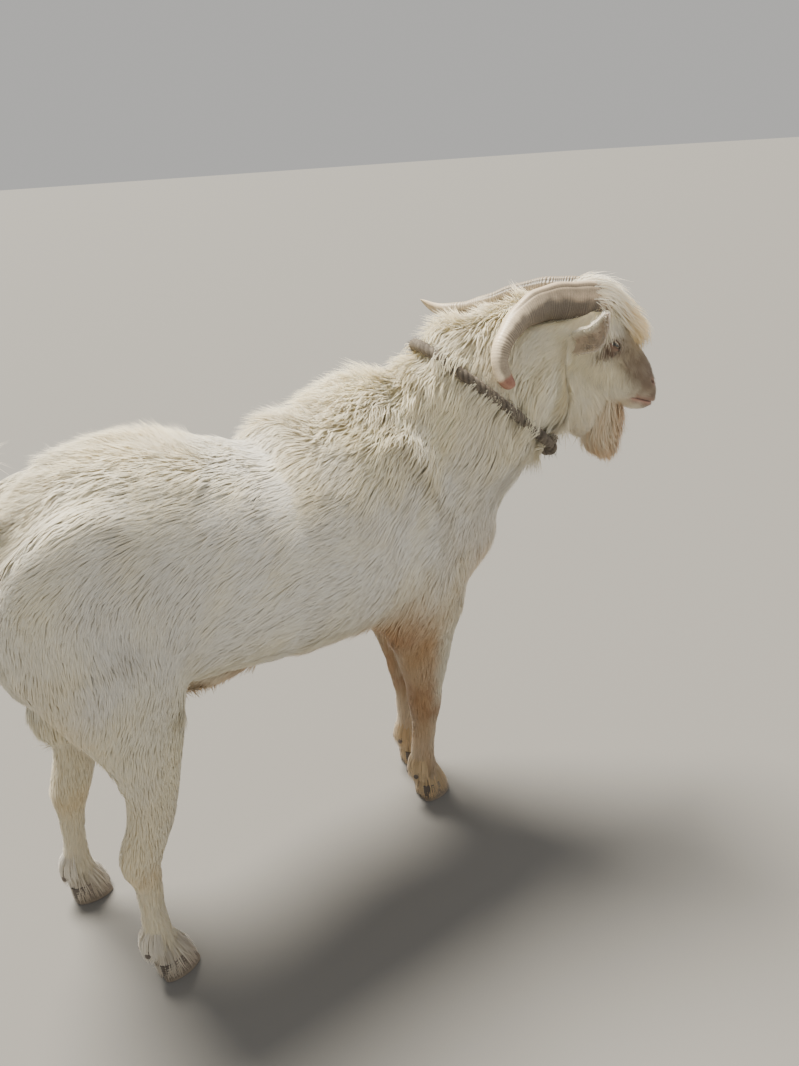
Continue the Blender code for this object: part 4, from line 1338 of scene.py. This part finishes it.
def eye_mesh(side):
    """Rings round the gaze: radius R sin(a), height R cos(a), and 6 % fuller where a < 40 degrees."""
    centre, gaze, corner, lift = eye_frame(side)
    polar, turn = np.linspace(0.02, math.pi - 0.02, 48)[:, None], turns(48)
    size = EYE_RADIUS * (1 + 0.06 * fall(polar, 0.35, 0.75))
    x, y = size * np.sin(polar) * np.cos(turn), size * np.sin(polar) * np.sin(turn)
    z = size * np.cos(polar) * np.ones_like(turn)
    rings = centre + x[..., None] * corner + y[..., None] * lift + z[..., None] * gaze
    values = {"iris": np.hypot(x, y) / EYE_RADIUS, "slot_x": x / EYE_RADIUS, "slot_y": y / EYE_RADIUS}
    return rings_mesh("eye", rings, values)


def eye_material():
    """The iris by distance from the gaze, streaked, and the pupil where (2.1 x)^4 + (5.6 y)^2 is under 1."""
    look, tree, shader, add = new_material("eye_amber", 0.06)
    place = add("ShaderNodeTexCoord").outputs["Object"]
    streaks = add("ShaderNodeTexNoise", Vector=place, Scale=900.0, Detail=3.0).outputs["Color"]
    node = add("ShaderNodeValToRGB", Fac=attribute(add, "iris"))
    elements = node.color_ramp.elements
    while len(elements) < len(IRIS):
        elements.new(0.5)
    for element, (distance, colour) in zip(elements, IRIS):
        element.position = distance
        element.color = (*colour, 1.0)
    ring = node.outputs["Color"]
    amber = add("ShaderNodeMix", data_type="RGBA", blend_type="MULTIPLY", in_0=0.45, in_6=ring, in_7=streaks)
    powers = []
    for key, scale, power in (("slot_x", 2.1, 4.0), ("slot_y", 5.6, 2.0)):
        reach = maths(add, "ABSOLUTE", maths(add, "MULTIPLY", attribute(add, key), scale))
        powers.append(maths(add, "POWER", reach, power))
    hole = spread_over(add, maths(add, "ADD", *powers), 0.9, 1.15)
    shown = add("ShaderNodeMix", data_type="RGBA", in_0=hole, in_6=PUPIL, in_7=amber.outputs[2])
    tree.links.new(shown.outputs[2], shader.inputs["Base Color"])
    shader.inputs["Coat Weight"].default_value = 0.6
    shader.inputs["Coat Roughness"].default_value = 0.03
    return look


eye_look = eye_material()
for side, word in ((1, "right"), (-1, "left")):
    finish_piece("eyeball_" + word, eye_mesh(side), eye_look, "eye", "eye_" + word)
print("eyes made")

# %% [markdown]
# ## Horns
#
# Each horn is an oval carried along a curve. Ribs of growth a few millimetres apart cross it,
# strongest below and worn smooth above and at the tip, and two grooves run along its crest.

# %% Horns
# along, up and right of the head's middle, half depth, half width, from root to tip
HORN_ROWS = {
    "right": [
        (0.028, 0.764, 0.014, 0.0210, 0.0140),
        (0.020, 0.786, 0.020, 0.0270, 0.0165),
        (0.003, 0.798, 0.024, 0.0285, 0.0170),
        (-0.028, 0.803, 0.031, 0.0270, 0.0165),
        (-0.057, 0.806, 0.042, 0.0250, 0.0155),
        (-0.088, 0.804, 0.060, 0.0215, 0.0140),
        (-0.117, 0.794, 0.085, 0.0160, 0.0125),
        (-0.141, 0.774, 0.110, 0.0125, 0.0110),
        (-0.150, 0.757, 0.122, 0.0115, 0.0105),
        (-0.150, 0.741, 0.128, 0.0110, 0.0100),
        (-0.143, 0.725, 0.130, 0.0100, 0.0095),
        (-0.132, 0.717, 0.130, 0.0070, 0.0070),
    ],
    "left": [
        (0.026, 0.764, -0.014, 0.0210, 0.0140),
        (0.018, 0.786, -0.018, 0.0270, 0.0165),
        (0.000, 0.798, -0.024, 0.0285, 0.0170),
        (-0.033, 0.804, -0.036, 0.0250, 0.0160),
        (-0.064, 0.804, -0.050, 0.0200, 0.0145),
        (-0.091, 0.801, -0.062, 0.0150, 0.0130),
        (-0.119, 0.793, -0.074, 0.0125, 0.0115),
        (-0.148, 0.785, -0.086, 0.0112, 0.0105),
        (-0.177, 0.783, -0.096, 0.0098, 0.0092),
        (-0.199, 0.787, -0.102, 0.0075, 0.0070),
        (-0.221, 0.801, -0.105, 0.0015, 0.0015),
    ],
}
HORN_RINGS, HORN_SIDES = 430, 44
RIB, WAVE = 0.0034, 0.047      # spacing of the ribs and of the slow swells, along the horn
RIB_RISE, SWELL_RISE, GROOVE_DEPTH = 0.00120, 0.00060, 0.0019
GROOVES, GROOVE_WIDTH = (math.radians(121), math.radians(64)), math.radians(6)
HORN_GREY = np.array((0.105, 0.088, 0.070))
HORN_TAN = np.array((0.650, 0.515, 0.370))
HORN_PALE = np.array((0.930, 0.780, 0.560))
HORN_RED = np.array((0.300, 0.120, 0.080))


def towards(colour, other, share):
    return colour + (other - colour) * share[..., None]


def lengths_along(line):
    """How far along a line of points each one lies."""
    return np.concatenate([[0], np.cumsum(np.linalg.norm(np.diff(line, axis=0), axis=1))])


def horn_mesh(word):
    """Point (t, a) = centre(t) + (width c(a) + r) across + (depth s(a) + r) deep, where c and s are
    cosine and sine squared off a little, and r is ribs |sin(pi l / RIB)| over the length l, less two
    grooves in the crest."""
    rows = smooth_rows(HORN_ROWS[word], HORN_RINGS)
    centres = head_at(rows[:, 0], rows[:, 1], rows[:, 2])
    across, deep = frames_along(centres, -head_way(0.0, 0.0, 1.0), lifted=True)
    length = lengths_along(centres)
    t, turn = (length / length[-1])[:, None], turns(HORN_SIDES)
    wide, high = (np.sign(part) * np.abs(part) ** 0.9 for part in (np.cos(turn), np.sin(turn)))
    wander = 0.5 * np.sin(length * 95) + 0.35 * np.sin(length * 231 + 1)
    phase = (length / RIB + wander)[:, None] + 0.18 * np.cos(turn)
    rib = np.abs(np.sin(math.pi * phase)) ** 0.8
    grown = ramp(t, 0.01, 0.06) * fall(t, 0.74, 0.93)
    below = np.maximum(0.30 + 0.70 * ramp(-np.sin(turn), -0.55, 0.35), 0.75 if word == "left" else 0.0)
    swell = np.sin(2 * math.pi * length / WAVE + 0.8)[:, None]
    crest = bump(turn, GROOVES[0], GROOVE_WIDTH) + 0.7 * bump(turn, GROOVES[1], GROOVE_WIDTH)
    groove = crest * ramp(t, 0.02, 0.08) * fall(t, 0.50, 0.75)
    rise = grown * (RIB_RISE * below * rib + SWELL_RISE * swell) - GROOVE_DEPTH * groove
    dome = np.maximum(np.sqrt(1 - np.clip((t - 0.965) / 0.0352, 0, 1) ** 2), 0.02)
    reach_x = (rows[:, 4:5] * wide + rise * np.cos(turn)) * dome
    reach_y = (rows[:, 3:4] * high + rise * np.sin(turn)) * dome
    rings = rings_round(centres, reach_x, reach_y, across, deep)
    mesh = rings_mesh("horn", rings)
    # tan on top and grey below as painted light and shade, paler towards the tip, and painted shade on the
    # side facing the other horn, between the ribs and in the grooves
    blotch, mottle = (np.array([field(ring) for ring in rings]) for field in (BLOTCH, MOTTLE))
    top = ramp(np.sin(turn) + 0.05 * blotch + 0.08 * mottle, -0.02, 0.40) * np.ones_like(t)
    paler = np.clip(ramp(t, 0.30, 0.80) + (0.15 if word == "left" else 0.0), 0, 1) * np.ones_like(turn)
    shades = towards(HORN_GREY, HORN_TAN, 0.08 + 0.92 * np.maximum(top, 0.28 * paler))
    shades = towards(shades, HORN_PALE, 0.85 * paler * (0.12 + 0.88 * top))
    # painted shade: on the side that faces the other horn, between the ribs and in the grooves
    strip = 0.45 * bump(turn, math.radians(128), math.radians(24)) * fall(t, 0.45, 0.70)
    for share in (strip, 0.72 * grown * below * (1 - rib), 0.80 * np.clip(groove, 0, 1)):
        shades = shades * (1 - share)[..., None]
    if word == "right":
        shades = towards(shades, HORN_RED, 0.88 * ramp(t, 0.925, 0.945) * np.ones_like(turn))
    # painted shade: the far horn darker, all but its tip
    far_horn_shade = np.ones_like(t) if word == "right" else 0.62 + 0.38 * ramp(t, 0.80, 0.97)
    shades = shades * (1 + 0.05 * mottle)[..., None] * far_horn_shade[..., None]
    ends = np.stack([shades[0].mean(0), shades[-1].mean(0)])
    give_tint(mesh, np.concatenate([shades.reshape(-1, 3), ends]))
    return mesh


def grained_material(name, roughness, scale, strength, distance):
    """A look that multiplies its own tint by a fine grain, which also roughens the surface."""
    look, tree, shader, add = new_material(name, roughness)
    place = add("ShaderNodeTexCoord").outputs["Object"]
    grain = add("ShaderNodeTexNoise", Vector=place, Scale=scale, Detail=4.0).outputs[0]
    scaled_tint(tree, shader, add, spread_over(add, grain, 0.3, 0.7, 0.84, 1.12))
    bumped(tree, shader, add, grain, strength, distance)
    return look


horn_look = grained_material("horn", 0.42, 420.0, 0.35, 0.0004)
for word in HORN_ROWS:
    finish_piece("horn_curl_" + word, horn_mesh(word), horn_look, "horn", "horn_" + word)
print("horns made")

# %% [markdown]
# ## Hooves
#
# Each foot has two claws with flat soles at floor level, and two small dewclaws behind the
# pastern. Faint ridges of growth run round the walls, and dust pales them near the ground.

# %% Claws and dewclaws
SOLE_LENGTH, CLAW_WIDTH, CLAW_HEIGHT, CLEFT = 0.053, 0.0210, 0.034, 0.0030
RIDGE_RISE, RIDGE_SPACING = 0.00025, 0.0045
# heights up the claw, as shares, with the section's scale and its backward lean there
CLAW_SCALE = ((0, 0.04, 0.25, 0.65, 1.0), (0.965, 1.0, 1.0, 0.92, 0.78))
CLAW_LEAN = ((0, 0.25, 0.65, 1.0), (0, -0.02, -0.08, -0.15))
DEWCLAW_RADII = (0.0060, 0.0070, 0.0085)
# foot: where the coronet is, forward and right, the foot's turn, and where the dewclaws are
FEET = {
    "hind_right": (0.036, 0.101, 9.0, (0.020, 0.103, 0.078)),
    "hind_left": (-0.029, -0.101, -4.0, (-0.039, -0.101, 0.072)),
    "front_right": (0.516, 0.042, 4.0, (0.498, 0.043, 0.078)),
    "front_left": (0.542, -0.044, -4.0, (0.528, -0.044, 0.078)),
}
HOOF = np.array((0.185, 0.150, 0.120))
HOOF_DUST = np.array((0.270, 0.220, 0.165))


def foot_ways(heading):
    """Directions ahead of a foot and across it, from its turn in degrees."""
    h = math.radians(heading)
    return np.array((math.sin(h), -math.cos(h), 0.0)), np.array((math.cos(h), math.sin(h), 0.0))


def claw_mesh(middle, ahead, across):
    """Ring at height z = centre + L/2 k(z) cos(a) ahead + W/2 k(z) sin(a) (1 - 0.28 cos^2 a where
    ahead) across, with k and the backward lean read between their heights, and ridges
    0.25 sin(2 pi z / 4.5) mm."""
    q, turn = np.concatenate([[0.0, 0.02], np.linspace(0.05, 1.0, 30)])[:, None], turns(40)
    scale, lean = np.interp(q, *CLAW_SCALE), np.interp(q, *CLAW_LEAN)
    reach = np.cos(turn)
    spread = np.sin(turn) * (1 - 0.28 * np.maximum(0, reach) ** 2)
    ridge = RIDGE_RISE * np.sin(2 * math.pi * q * CLAW_HEIGHT / RIDGE_SPACING) * ramp(q, 0.05, 0.15)
    x = SOLE_LENGTH * (0.5 * reach * scale + lean) + ridge * reach
    y = CLAW_WIDTH * 0.5 * spread * scale + ridge * spread
    rings = middle + x[..., None] * ahead + y[..., None] * across
    rings[..., 2] = CLAW_HEIGHT * q
    mesh = rings_mesh("claw", rings)
    points = points_of(mesh)
    level = points[:, 2] / CLAW_HEIGHT
    dust = 0.75 * fall(level, 0.05, 0.5) + 0.25 * MOTTLE(points)
    shades = mixed(np.broadcast_to(HOOF, points.shape), HOOF_DUST, dust)
    heel = ramp(-((points - middle) @ ahead), 0.008, 0.020) * ramp(level, 0.10, 0.30)
    give_tint(mesh, mixed(shades, HOOF * 0.45, 0.85 * heel) * (1 + 0.07 * np.sin(level * 24))[:, None])
    return mesh


def dewclaw_mesh(centre, back):
    """An egg, drawn out a little behind and below."""
    polar, turn = np.linspace(0.03, math.pi - 0.03, 18)[:, None], turns(22)
    x, y, z = DEWCLAW_RADII
    upright = z * np.cos(polar) * np.ones_like(turn)
    rings = np.stack([x * np.sin(polar) * np.cos(turn), y * np.sin(polar) * np.sin(turn), upright], -1)
    mesh = rings_mesh("dewclaw", centre + rings + back * (0.0015 * (1 - np.cos(polar)))[..., None])
    give_tint(mesh, HOOF * (0.60 + 0.12 * MOTTLE(points_of(mesh))[:, None]))
    return mesh


claw_look = grained_material("claw", 0.5, 500.0, 0.4, 0.0004)
for foot, (forward, right, heading, spur) in FEET.items():
    ahead, across = foot_ways(heading)
    for side, word in ((1, "outer"), (-1, "inner")):
        away = -side if right > 0 else side
        middle = at(forward, right, 0.0) + across * away * (CLAW_WIDTH + CLEFT) / 2
        ends = foot + "_" + word
        finish_piece("hoof_" + ends, claw_mesh(middle, ahead, across), claw_look, "claw", "claw_" + ends)
        centre = at(spur[0], spur[1], spur[2] - 0.014) - ahead * 0.0185 + across * away * 0.0090
        finish_piece("spur_" + ends, dewclaw_mesh(centre, -ahead), claw_look, "claw", "dewclaw_" + ends)
print("hooves made")

# %% Hair over the hooves
FOOT_TAN = np.array((0.55, 0.385, 0.205))
FOOT_GREY = np.array((0.46, 0.375, 0.270))
PASTERN = np.array((0.74, 0.665, 0.530))
FRINGE_HAIRS = 430             # over each foot's claws, and half as many over its dewclaws


def curved(first, bend, last):
    """Four places along each hair: first (1 - s)^2 + 2 bend s (1 - s) + last s^2."""
    s = np.linspace(0, 1, 4)[None, :, None]
    return first[:, None] * (1 - s) ** 2 + 2 * bend[:, None] * s * (1 - s) + last[:, None] * s**2


def fringe_paths(foot, count, source):
    """Hairs from the pastern at angle a over the claws: root radius 16 mm, ends on an oval just outside
    the walls, (L/2 + 2 mm) c ahead and (W + C/2 + 1 mm) s across, with c and s the cosine and sine of a
    squared off to the power 0.75, a few millimetres above the floor."""
    forward, right, heading, spur = FEET[foot]
    ahead, across = foot_ways(heading)

    def place(middle, half_x, half_y, lean, height, turn):
        c, s = (np.sign(part) * np.abs(part) ** 0.75 for part in (np.cos(turn), np.sin(turn)))
        x, y = (half_x * c + lean)[:, None], (half_y * s)[:, None]
        return middle + x * ahead + y * across + height[:, None] * UP

    def out_at(turn):
        return unit(np.cos(turn)[:, None] * ahead + np.sin(turn)[:, None] * across)

    angle = source.uniform(0, 2 * math.pi, count)
    top = source.uniform(0.034, 0.066, count)
    near = source.uniform(size=count) < 0.75
    low = np.where(near, source.uniform(0.003, 0.012, count), source.uniform(0.012, 0.024, count))
    middle, back = at(forward, right, 0.0), -0.012 * ramp(top, 0.034, 0.075)
    turned = angle + source.normal(0, 0.12, count)
    ends = place(middle, SOLE_LENGTH / 2 + 0.0022, CLAW_WIDTH + CLEFT / 2 + 0.0012, -0.002, low, turned)
    roots = place(middle, 0.0165, 0.0155, back, top, angle)
    height = 0.40 * top + 0.60 * low
    bulge = place(middle, SOLE_LENGTH / 2 - 0.0005, CLAW_WIDTH + 0.0005, -0.005, height, (angle + turned) / 2)
    # a second fall of hair from the back of the pastern over the dewclaws
    over = count // 2
    turn = math.pi + source.uniform(-1.5, 1.5, over)
    spur, rise = at(*spur), source.uniform(-0.004, 0.020, over)
    begin = place(spur, 0.0150, 0.0140, 0.0, rise, turn)
    bend = place(spur, 0.0330, 0.0210, 0.0, rise * 0.5 - 0.006, turn)
    finish = place(spur, 0.0262, 0.0185, 0.0, source.uniform(-0.034, -0.020, over), turn)
    paths = np.concatenate([curved(roots, bulge, ends), curved(begin, bend, finish)])
    return paths, np.concatenate([out_at(angle), out_at(turn)])


def fringe_piece():
    source = np.random.default_rng(41)
    made = [fringe_paths(foot, FRINGE_HAIRS, source) for foot in FEET]
    paths, outward = (np.concatenate(parts) for parts in zip(*made))
    middle = paths[:, 1]
    front = (goat_of(middle)[0] > 0.3)[:, None]
    above = np.where(front, FOOT_TAN * 1.15, PASTERN)
    colour = mixed(np.where(front, FOOT_TAN, FOOT_GREY), above, ramp(middle[:, 2], 0.026, 0.060))
    colour = colour * (1 + 0.14 * MOTTLE(middle)[:, None])
    shade = np.clip(source.normal(0.5, 0.22, len(paths)), 0, 1)
    half = source.uniform(0.0007, 0.0012, len(paths))
    hair_piece("fringe", paths, outward, half, shade, colour, np.nonzero(vertex_points[:, 2] < 0.12)[0])


fringe_piece()

# %% [markdown]
# ## Rope collar
#
# The collar is a worn rope of three strands. Its middle line is read from the solid collar, a
# three-lobed section turns as it runs round, and loose fibres stand off it. The knot under the
# throat is the same rope tied in a trefoil.

# %% Rope, knot and fibres
KNOT_MIDDLE = at(0.724, 0.094, 0.598)
KNOT_WIDE, KNOT_DEEP, KNOT_TALL = 0.0105, 0.0070, 0.0125
COLLAR_RADIUS, KNOT_RADIUS, TWIST = 0.0080, 0.0058, 0.027
COLLAR_RINGS, KNOT_RINGS, ROPE_SIDES = 620, 300, 28
SECTORS, HARMONICS = 24, 7
FIBRES, BRUSH = 1500, 260      # loose fibres off the collar, and off the knot
ROPE_DARK = np.array((0.070, 0.058, 0.046))
ROPE_WORN = np.array((0.200, 0.168, 0.132))


def collar_line(count):
    """The collar's middle line as a closed curve: the mean place in each of 24 sectors, and of those only
    the mean and the first 7 harmonics."""
    points = points_of(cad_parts["collar"].data)
    first = unit(np.cross(COLLAR_AXIS, (0.0, 0.0, 1.0)))
    second = np.cross(COLLAR_AXIS, first)
    away = points - COLLAR_MIDDLE
    sector = np.round(np.arctan2(away @ second, away @ first) / (2 * math.pi / SECTORS)).astype(int) % SECTORS
    kept = np.fft.fft(np.stack([points[sector == k].mean(0) for k in range(SECTORS)]), axis=0)
    kept[HARMONICS + 1:-HARMONICS] = 0
    theta = np.arange(count) * SECTORS / count
    around = np.exp(2j * math.pi * np.outer(theta, np.fft.fftfreq(SECTORS)))
    return (around @ kept).real / SECTORS


def rope_rings(line, lift, radius):
    """Section r(a) = R (0.76 + 0.24 |cos(1.5 (a - 2 pi l / TWIST))|^0.8): three strands that turn with
    the length l."""
    run = unit(np.roll(line, -1, axis=0) - np.roll(line, 1, axis=0))
    lift = unit(lift - run * (lift * run).sum(1, keepdims=True))
    length = lengths_along(line)
    whole = round((length[-1] / TWIST) * 3) / 3
    turn = turns(ROPE_SIDES)
    lobe = np.abs(np.cos(1.5 * (turn - (2 * math.pi * whole * length / length[-1])[:, None]))) ** 0.8
    size = radius * (0.76 + 0.24 * lobe)
    return rings_round(line, size * np.cos(turn), size * np.sin(turn), lift, np.cross(run, lift)), lobe


def rope_piece(name, mesh_name, node, rings, lobe):
    mesh = rings_mesh(mesh_name, rings, closed=True)
    # lighter on the strands' crests with wear, and darker in the hollows between them with painted shade
    wear_and_hollow_shade = np.clip(0.15 + 0.55 * lobe + 0.25 * np.array([MOTTLE(ring) for ring in rings]), 0, 1)
    give_tint(mesh, towards(ROPE_DARK, ROPE_WORN, wear_and_hollow_shade).reshape(-1, 3))
    finish_piece(name, mesh, rope_look, "rope", node)


rope_look = grained_material("rope", 0.85, 900.0, 0.8, 0.0008)
line = collar_line(COLLAR_RINGS)
sunk = 0.045 * ramp(np.linalg.norm(line - KNOT_MIDDLE, axis=1), 0.03, 0.09)
line = line + (line.mean(0) - line) * sunk[:, None]
collar_rings, lobe = rope_rings(line, line - line.mean(0), COLLAR_RADIUS)
rope_piece("rope_collar", "rope", "collar", collar_rings, lobe)
t = turns(KNOT_RINGS)
wide, tall = np.sin(t) + 2 * np.sin(2 * t), np.cos(t) - 2 * np.cos(2 * t)
curl = np.stack([KNOT_WIDE * wide / 3, -KNOT_DEEP * np.sin(3 * t), KNOT_TALL * tall / 3], -1)
knot_rings, lobe = rope_rings(KNOT_MIDDLE + curl, curl + np.array((0.0, 0.004, 0.0)), KNOT_RADIUS)
rope_piece("rope_knot", "knot", "collar_knot", knot_rings, lobe)


def rope_fibres():
    """Loose fibres off the rope, and a short frayed brush below the knot."""
    source = np.random.default_rng(51)
    pick, turn = source.integers(0, len(collar_rings), FIBRES), source.integers(0, ROPE_SIDES, FIBRES)
    roots = collar_rings[pick, turn]
    outward = unit(roots - line[pick])
    run = unit(line[(pick + 1) % len(line)] - line[pick]) * source.choice((-1, 1), (FIBRES, 1))
    knots = source.integers(0, KNOT_RINGS, BRUSH)
    roots = np.concatenate([roots, knot_rings[knots, source.integers(0, ROPE_SIDES, BRUSH)]])
    below = unit(source.normal(size=(BRUSH, 3)) * 0.35 + np.array((0.0, 0.05, -1.0)))
    outward, run = np.concatenate([outward, below]), np.concatenate([run, below])
    long = [source.uniform(0.005, 0.014, FIBRES), source.uniform(0.006, 0.016, BRUSH)]
    long = np.concatenate(long)[:, None]
    bend = unit(outward * 0.45 + run + source.normal(0, 0.30, roots.shape))
    halfway = roots + unit(outward * 0.5 + run) * long * 0.5
    paths = np.stack([roots - outward * 0.0006, halfway, roots + bend * long], 1)
    shade = source.uniform(0, 1, len(roots))
    shades = ROPE_DARK + (ROPE_WORN * 1.15 - ROPE_DARK) * shade[:, None]
    thin, places = np.full(len(roots), 0.00028), np.full((len(roots), 2), 0.5)
    across = np.cross(outward, run) + 1e-3
    return tuft_mesh("fibres", paths, thin, across, 0.8, places, shade, shades, outward)


finish_piece("rope_fibres", rope_fibres(), rope_look, "rope")
print("collar made")

# %% [markdown]
# ## Forelock and beard
#
# Two bodies of long hair stand free of the skin. Each is an oval carried along a curve, and
# every hair in it starts near the middle and drifts outwards as it runs along.

# %% Long locks of the head
# along, up, half depth, half width in the head's middle plane
LOCK_ROWS = {
    "beard": [
        (0.046, 0.662, 0.034, 0.022),
        (0.038, 0.626, 0.040, 0.024),
        (0.038, 0.590, 0.038, 0.021),
        (0.046, 0.566, 0.022, 0.014),
        (0.048, 0.548, 0.006, 0.005),
    ],
    "forelock": [
        (-0.014, 0.803, 0.024, 0.034),
        (0.008, 0.808, 0.029, 0.045),
        (0.033, 0.798, 0.028, 0.045),
        (0.058, 0.771, 0.024, 0.040),
        (0.082, 0.746, 0.021, 0.030),
        (0.091, 0.724, 0.010, 0.011),
    ],
}
LOCK_RINGS = 80
RUFFLE = {"forelock": 0.0042, "beard": 0.0028}     # how far the tips stray
FORE_WHITE = np.array((0.94, 0.88, 0.73))
FORE_TAN = np.array((0.93, 0.72, 0.37))
BEARD_CREAM = np.array((0.84, 0.72, 0.52))
BEARD_ORANGE = np.array((0.76, 0.50, 0.26))


def lock_paths(word, count, rings, seed):
    """Hair i at s = centre(t) + p (width cos a side + depth sin a deep), with t, p and a running from its own
    start to its own end, and the tip thrown outwards a little."""
    source = np.random.default_rng(seed)
    rows = smooth_rows(LOCK_ROWS[word], LOCK_RINGS)
    centres = head_at(rows[:, 0], rows[:, 1], 0.0)
    across, deep = frames_along(centres, head_way(0.0, 0.0, 1.0))
    start = source.uniform(0, 0.66, count) ** 1.15
    end = np.minimum(start + source.uniform(0.22, 0.46, count), 1.0)
    inner = source.uniform(0.10, 0.75, count)
    outer = np.minimum(inner + source.uniform(0.10, 0.45, count), source.uniform(0.82, 1.10, count))
    angle = source.uniform(0, 2 * math.pi, count)
    turned = angle + source.normal(0, 0.22, count)
    s = np.linspace(0, 1, rings + 1)[None]
    t = (start[:, None] + (end - start)[:, None] * s) * (LOCK_RINGS - 1)
    p = inner[:, None] + (outer - inner)[:, None] * s**0.8
    a = angle[:, None] + (turned - angle)[:, None] * s

    def read(values):
        low = np.minimum(t.astype(int), LOCK_RINGS - 2)
        part = (t - low).reshape(t.shape + (1,) * (values.ndim - 1))
        return values[low] * (1 - part) + values[low + 1] * part

    wide, high = read(rows[:, 3]) * p * np.cos(a), read(rows[:, 2]) * p * np.sin(a)
    middle = read(centres)
    paths = middle + wide[..., None] * read(across) + high[..., None] * read(deep)
    throw = source.normal(0, RUFFLE[word], (count, 3))
    throw = throw + unit(paths[:, -1] - middle[:, -1]) * source.uniform(0, 0.006, (count, 1))
    paths += throw[:, None] * (s**2)[..., None]
    return paths, unit(paths[:, 1] - middle[:, 1]), source


head_vertices = np.nonzero((face_share(vertex_points) > 0.2) & (ear < 0.5))[0]


def lock_piece(word, count, seed):
    paths, outward, source = lock_paths(word, count, 4, seed)
    middle = paths[:, 2]
    along, height, out = head_of(middle)
    if word == "forelock":
        base, other, share = FORE_WHITE, FORE_TAN, (ramp(along, 0.034, 0.066) + 0.25 * MOTTLE(middle)) * 0.85
    else:
        front = np.maximum(ramp(along, 0.038, 0.070), 0.9 * fall(height, 0.562, 0.592))
        share = (0.12 + 0.80 * front + 0.2 * MOTTLE(middle)) * fall(height, 0.64, 0.67)
        base, other = BEARD_CREAM, BEARD_ORANGE
    colour = mixed(np.broadcast_to(base, middle.shape), other, share)
    shade = np.clip(0.5 + source.normal(0, 0.22, count), 0, 1)
    half = source.uniform(0.00055, 0.00105, count)
    hair_piece(word, paths, outward, half, shade, colour, head_vertices, word)


lock_piece("beard", 3400, 61)
lock_piece("forelock", 4200, 62)

# %% Measure and finish
low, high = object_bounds()
{"cad": [list(cad_low), list(cad_high)], "visual": [list(low), list(high)]}
print("visual box", tuple(round(value, 3) for value in low), tuple(round(value, 3) for value in high))
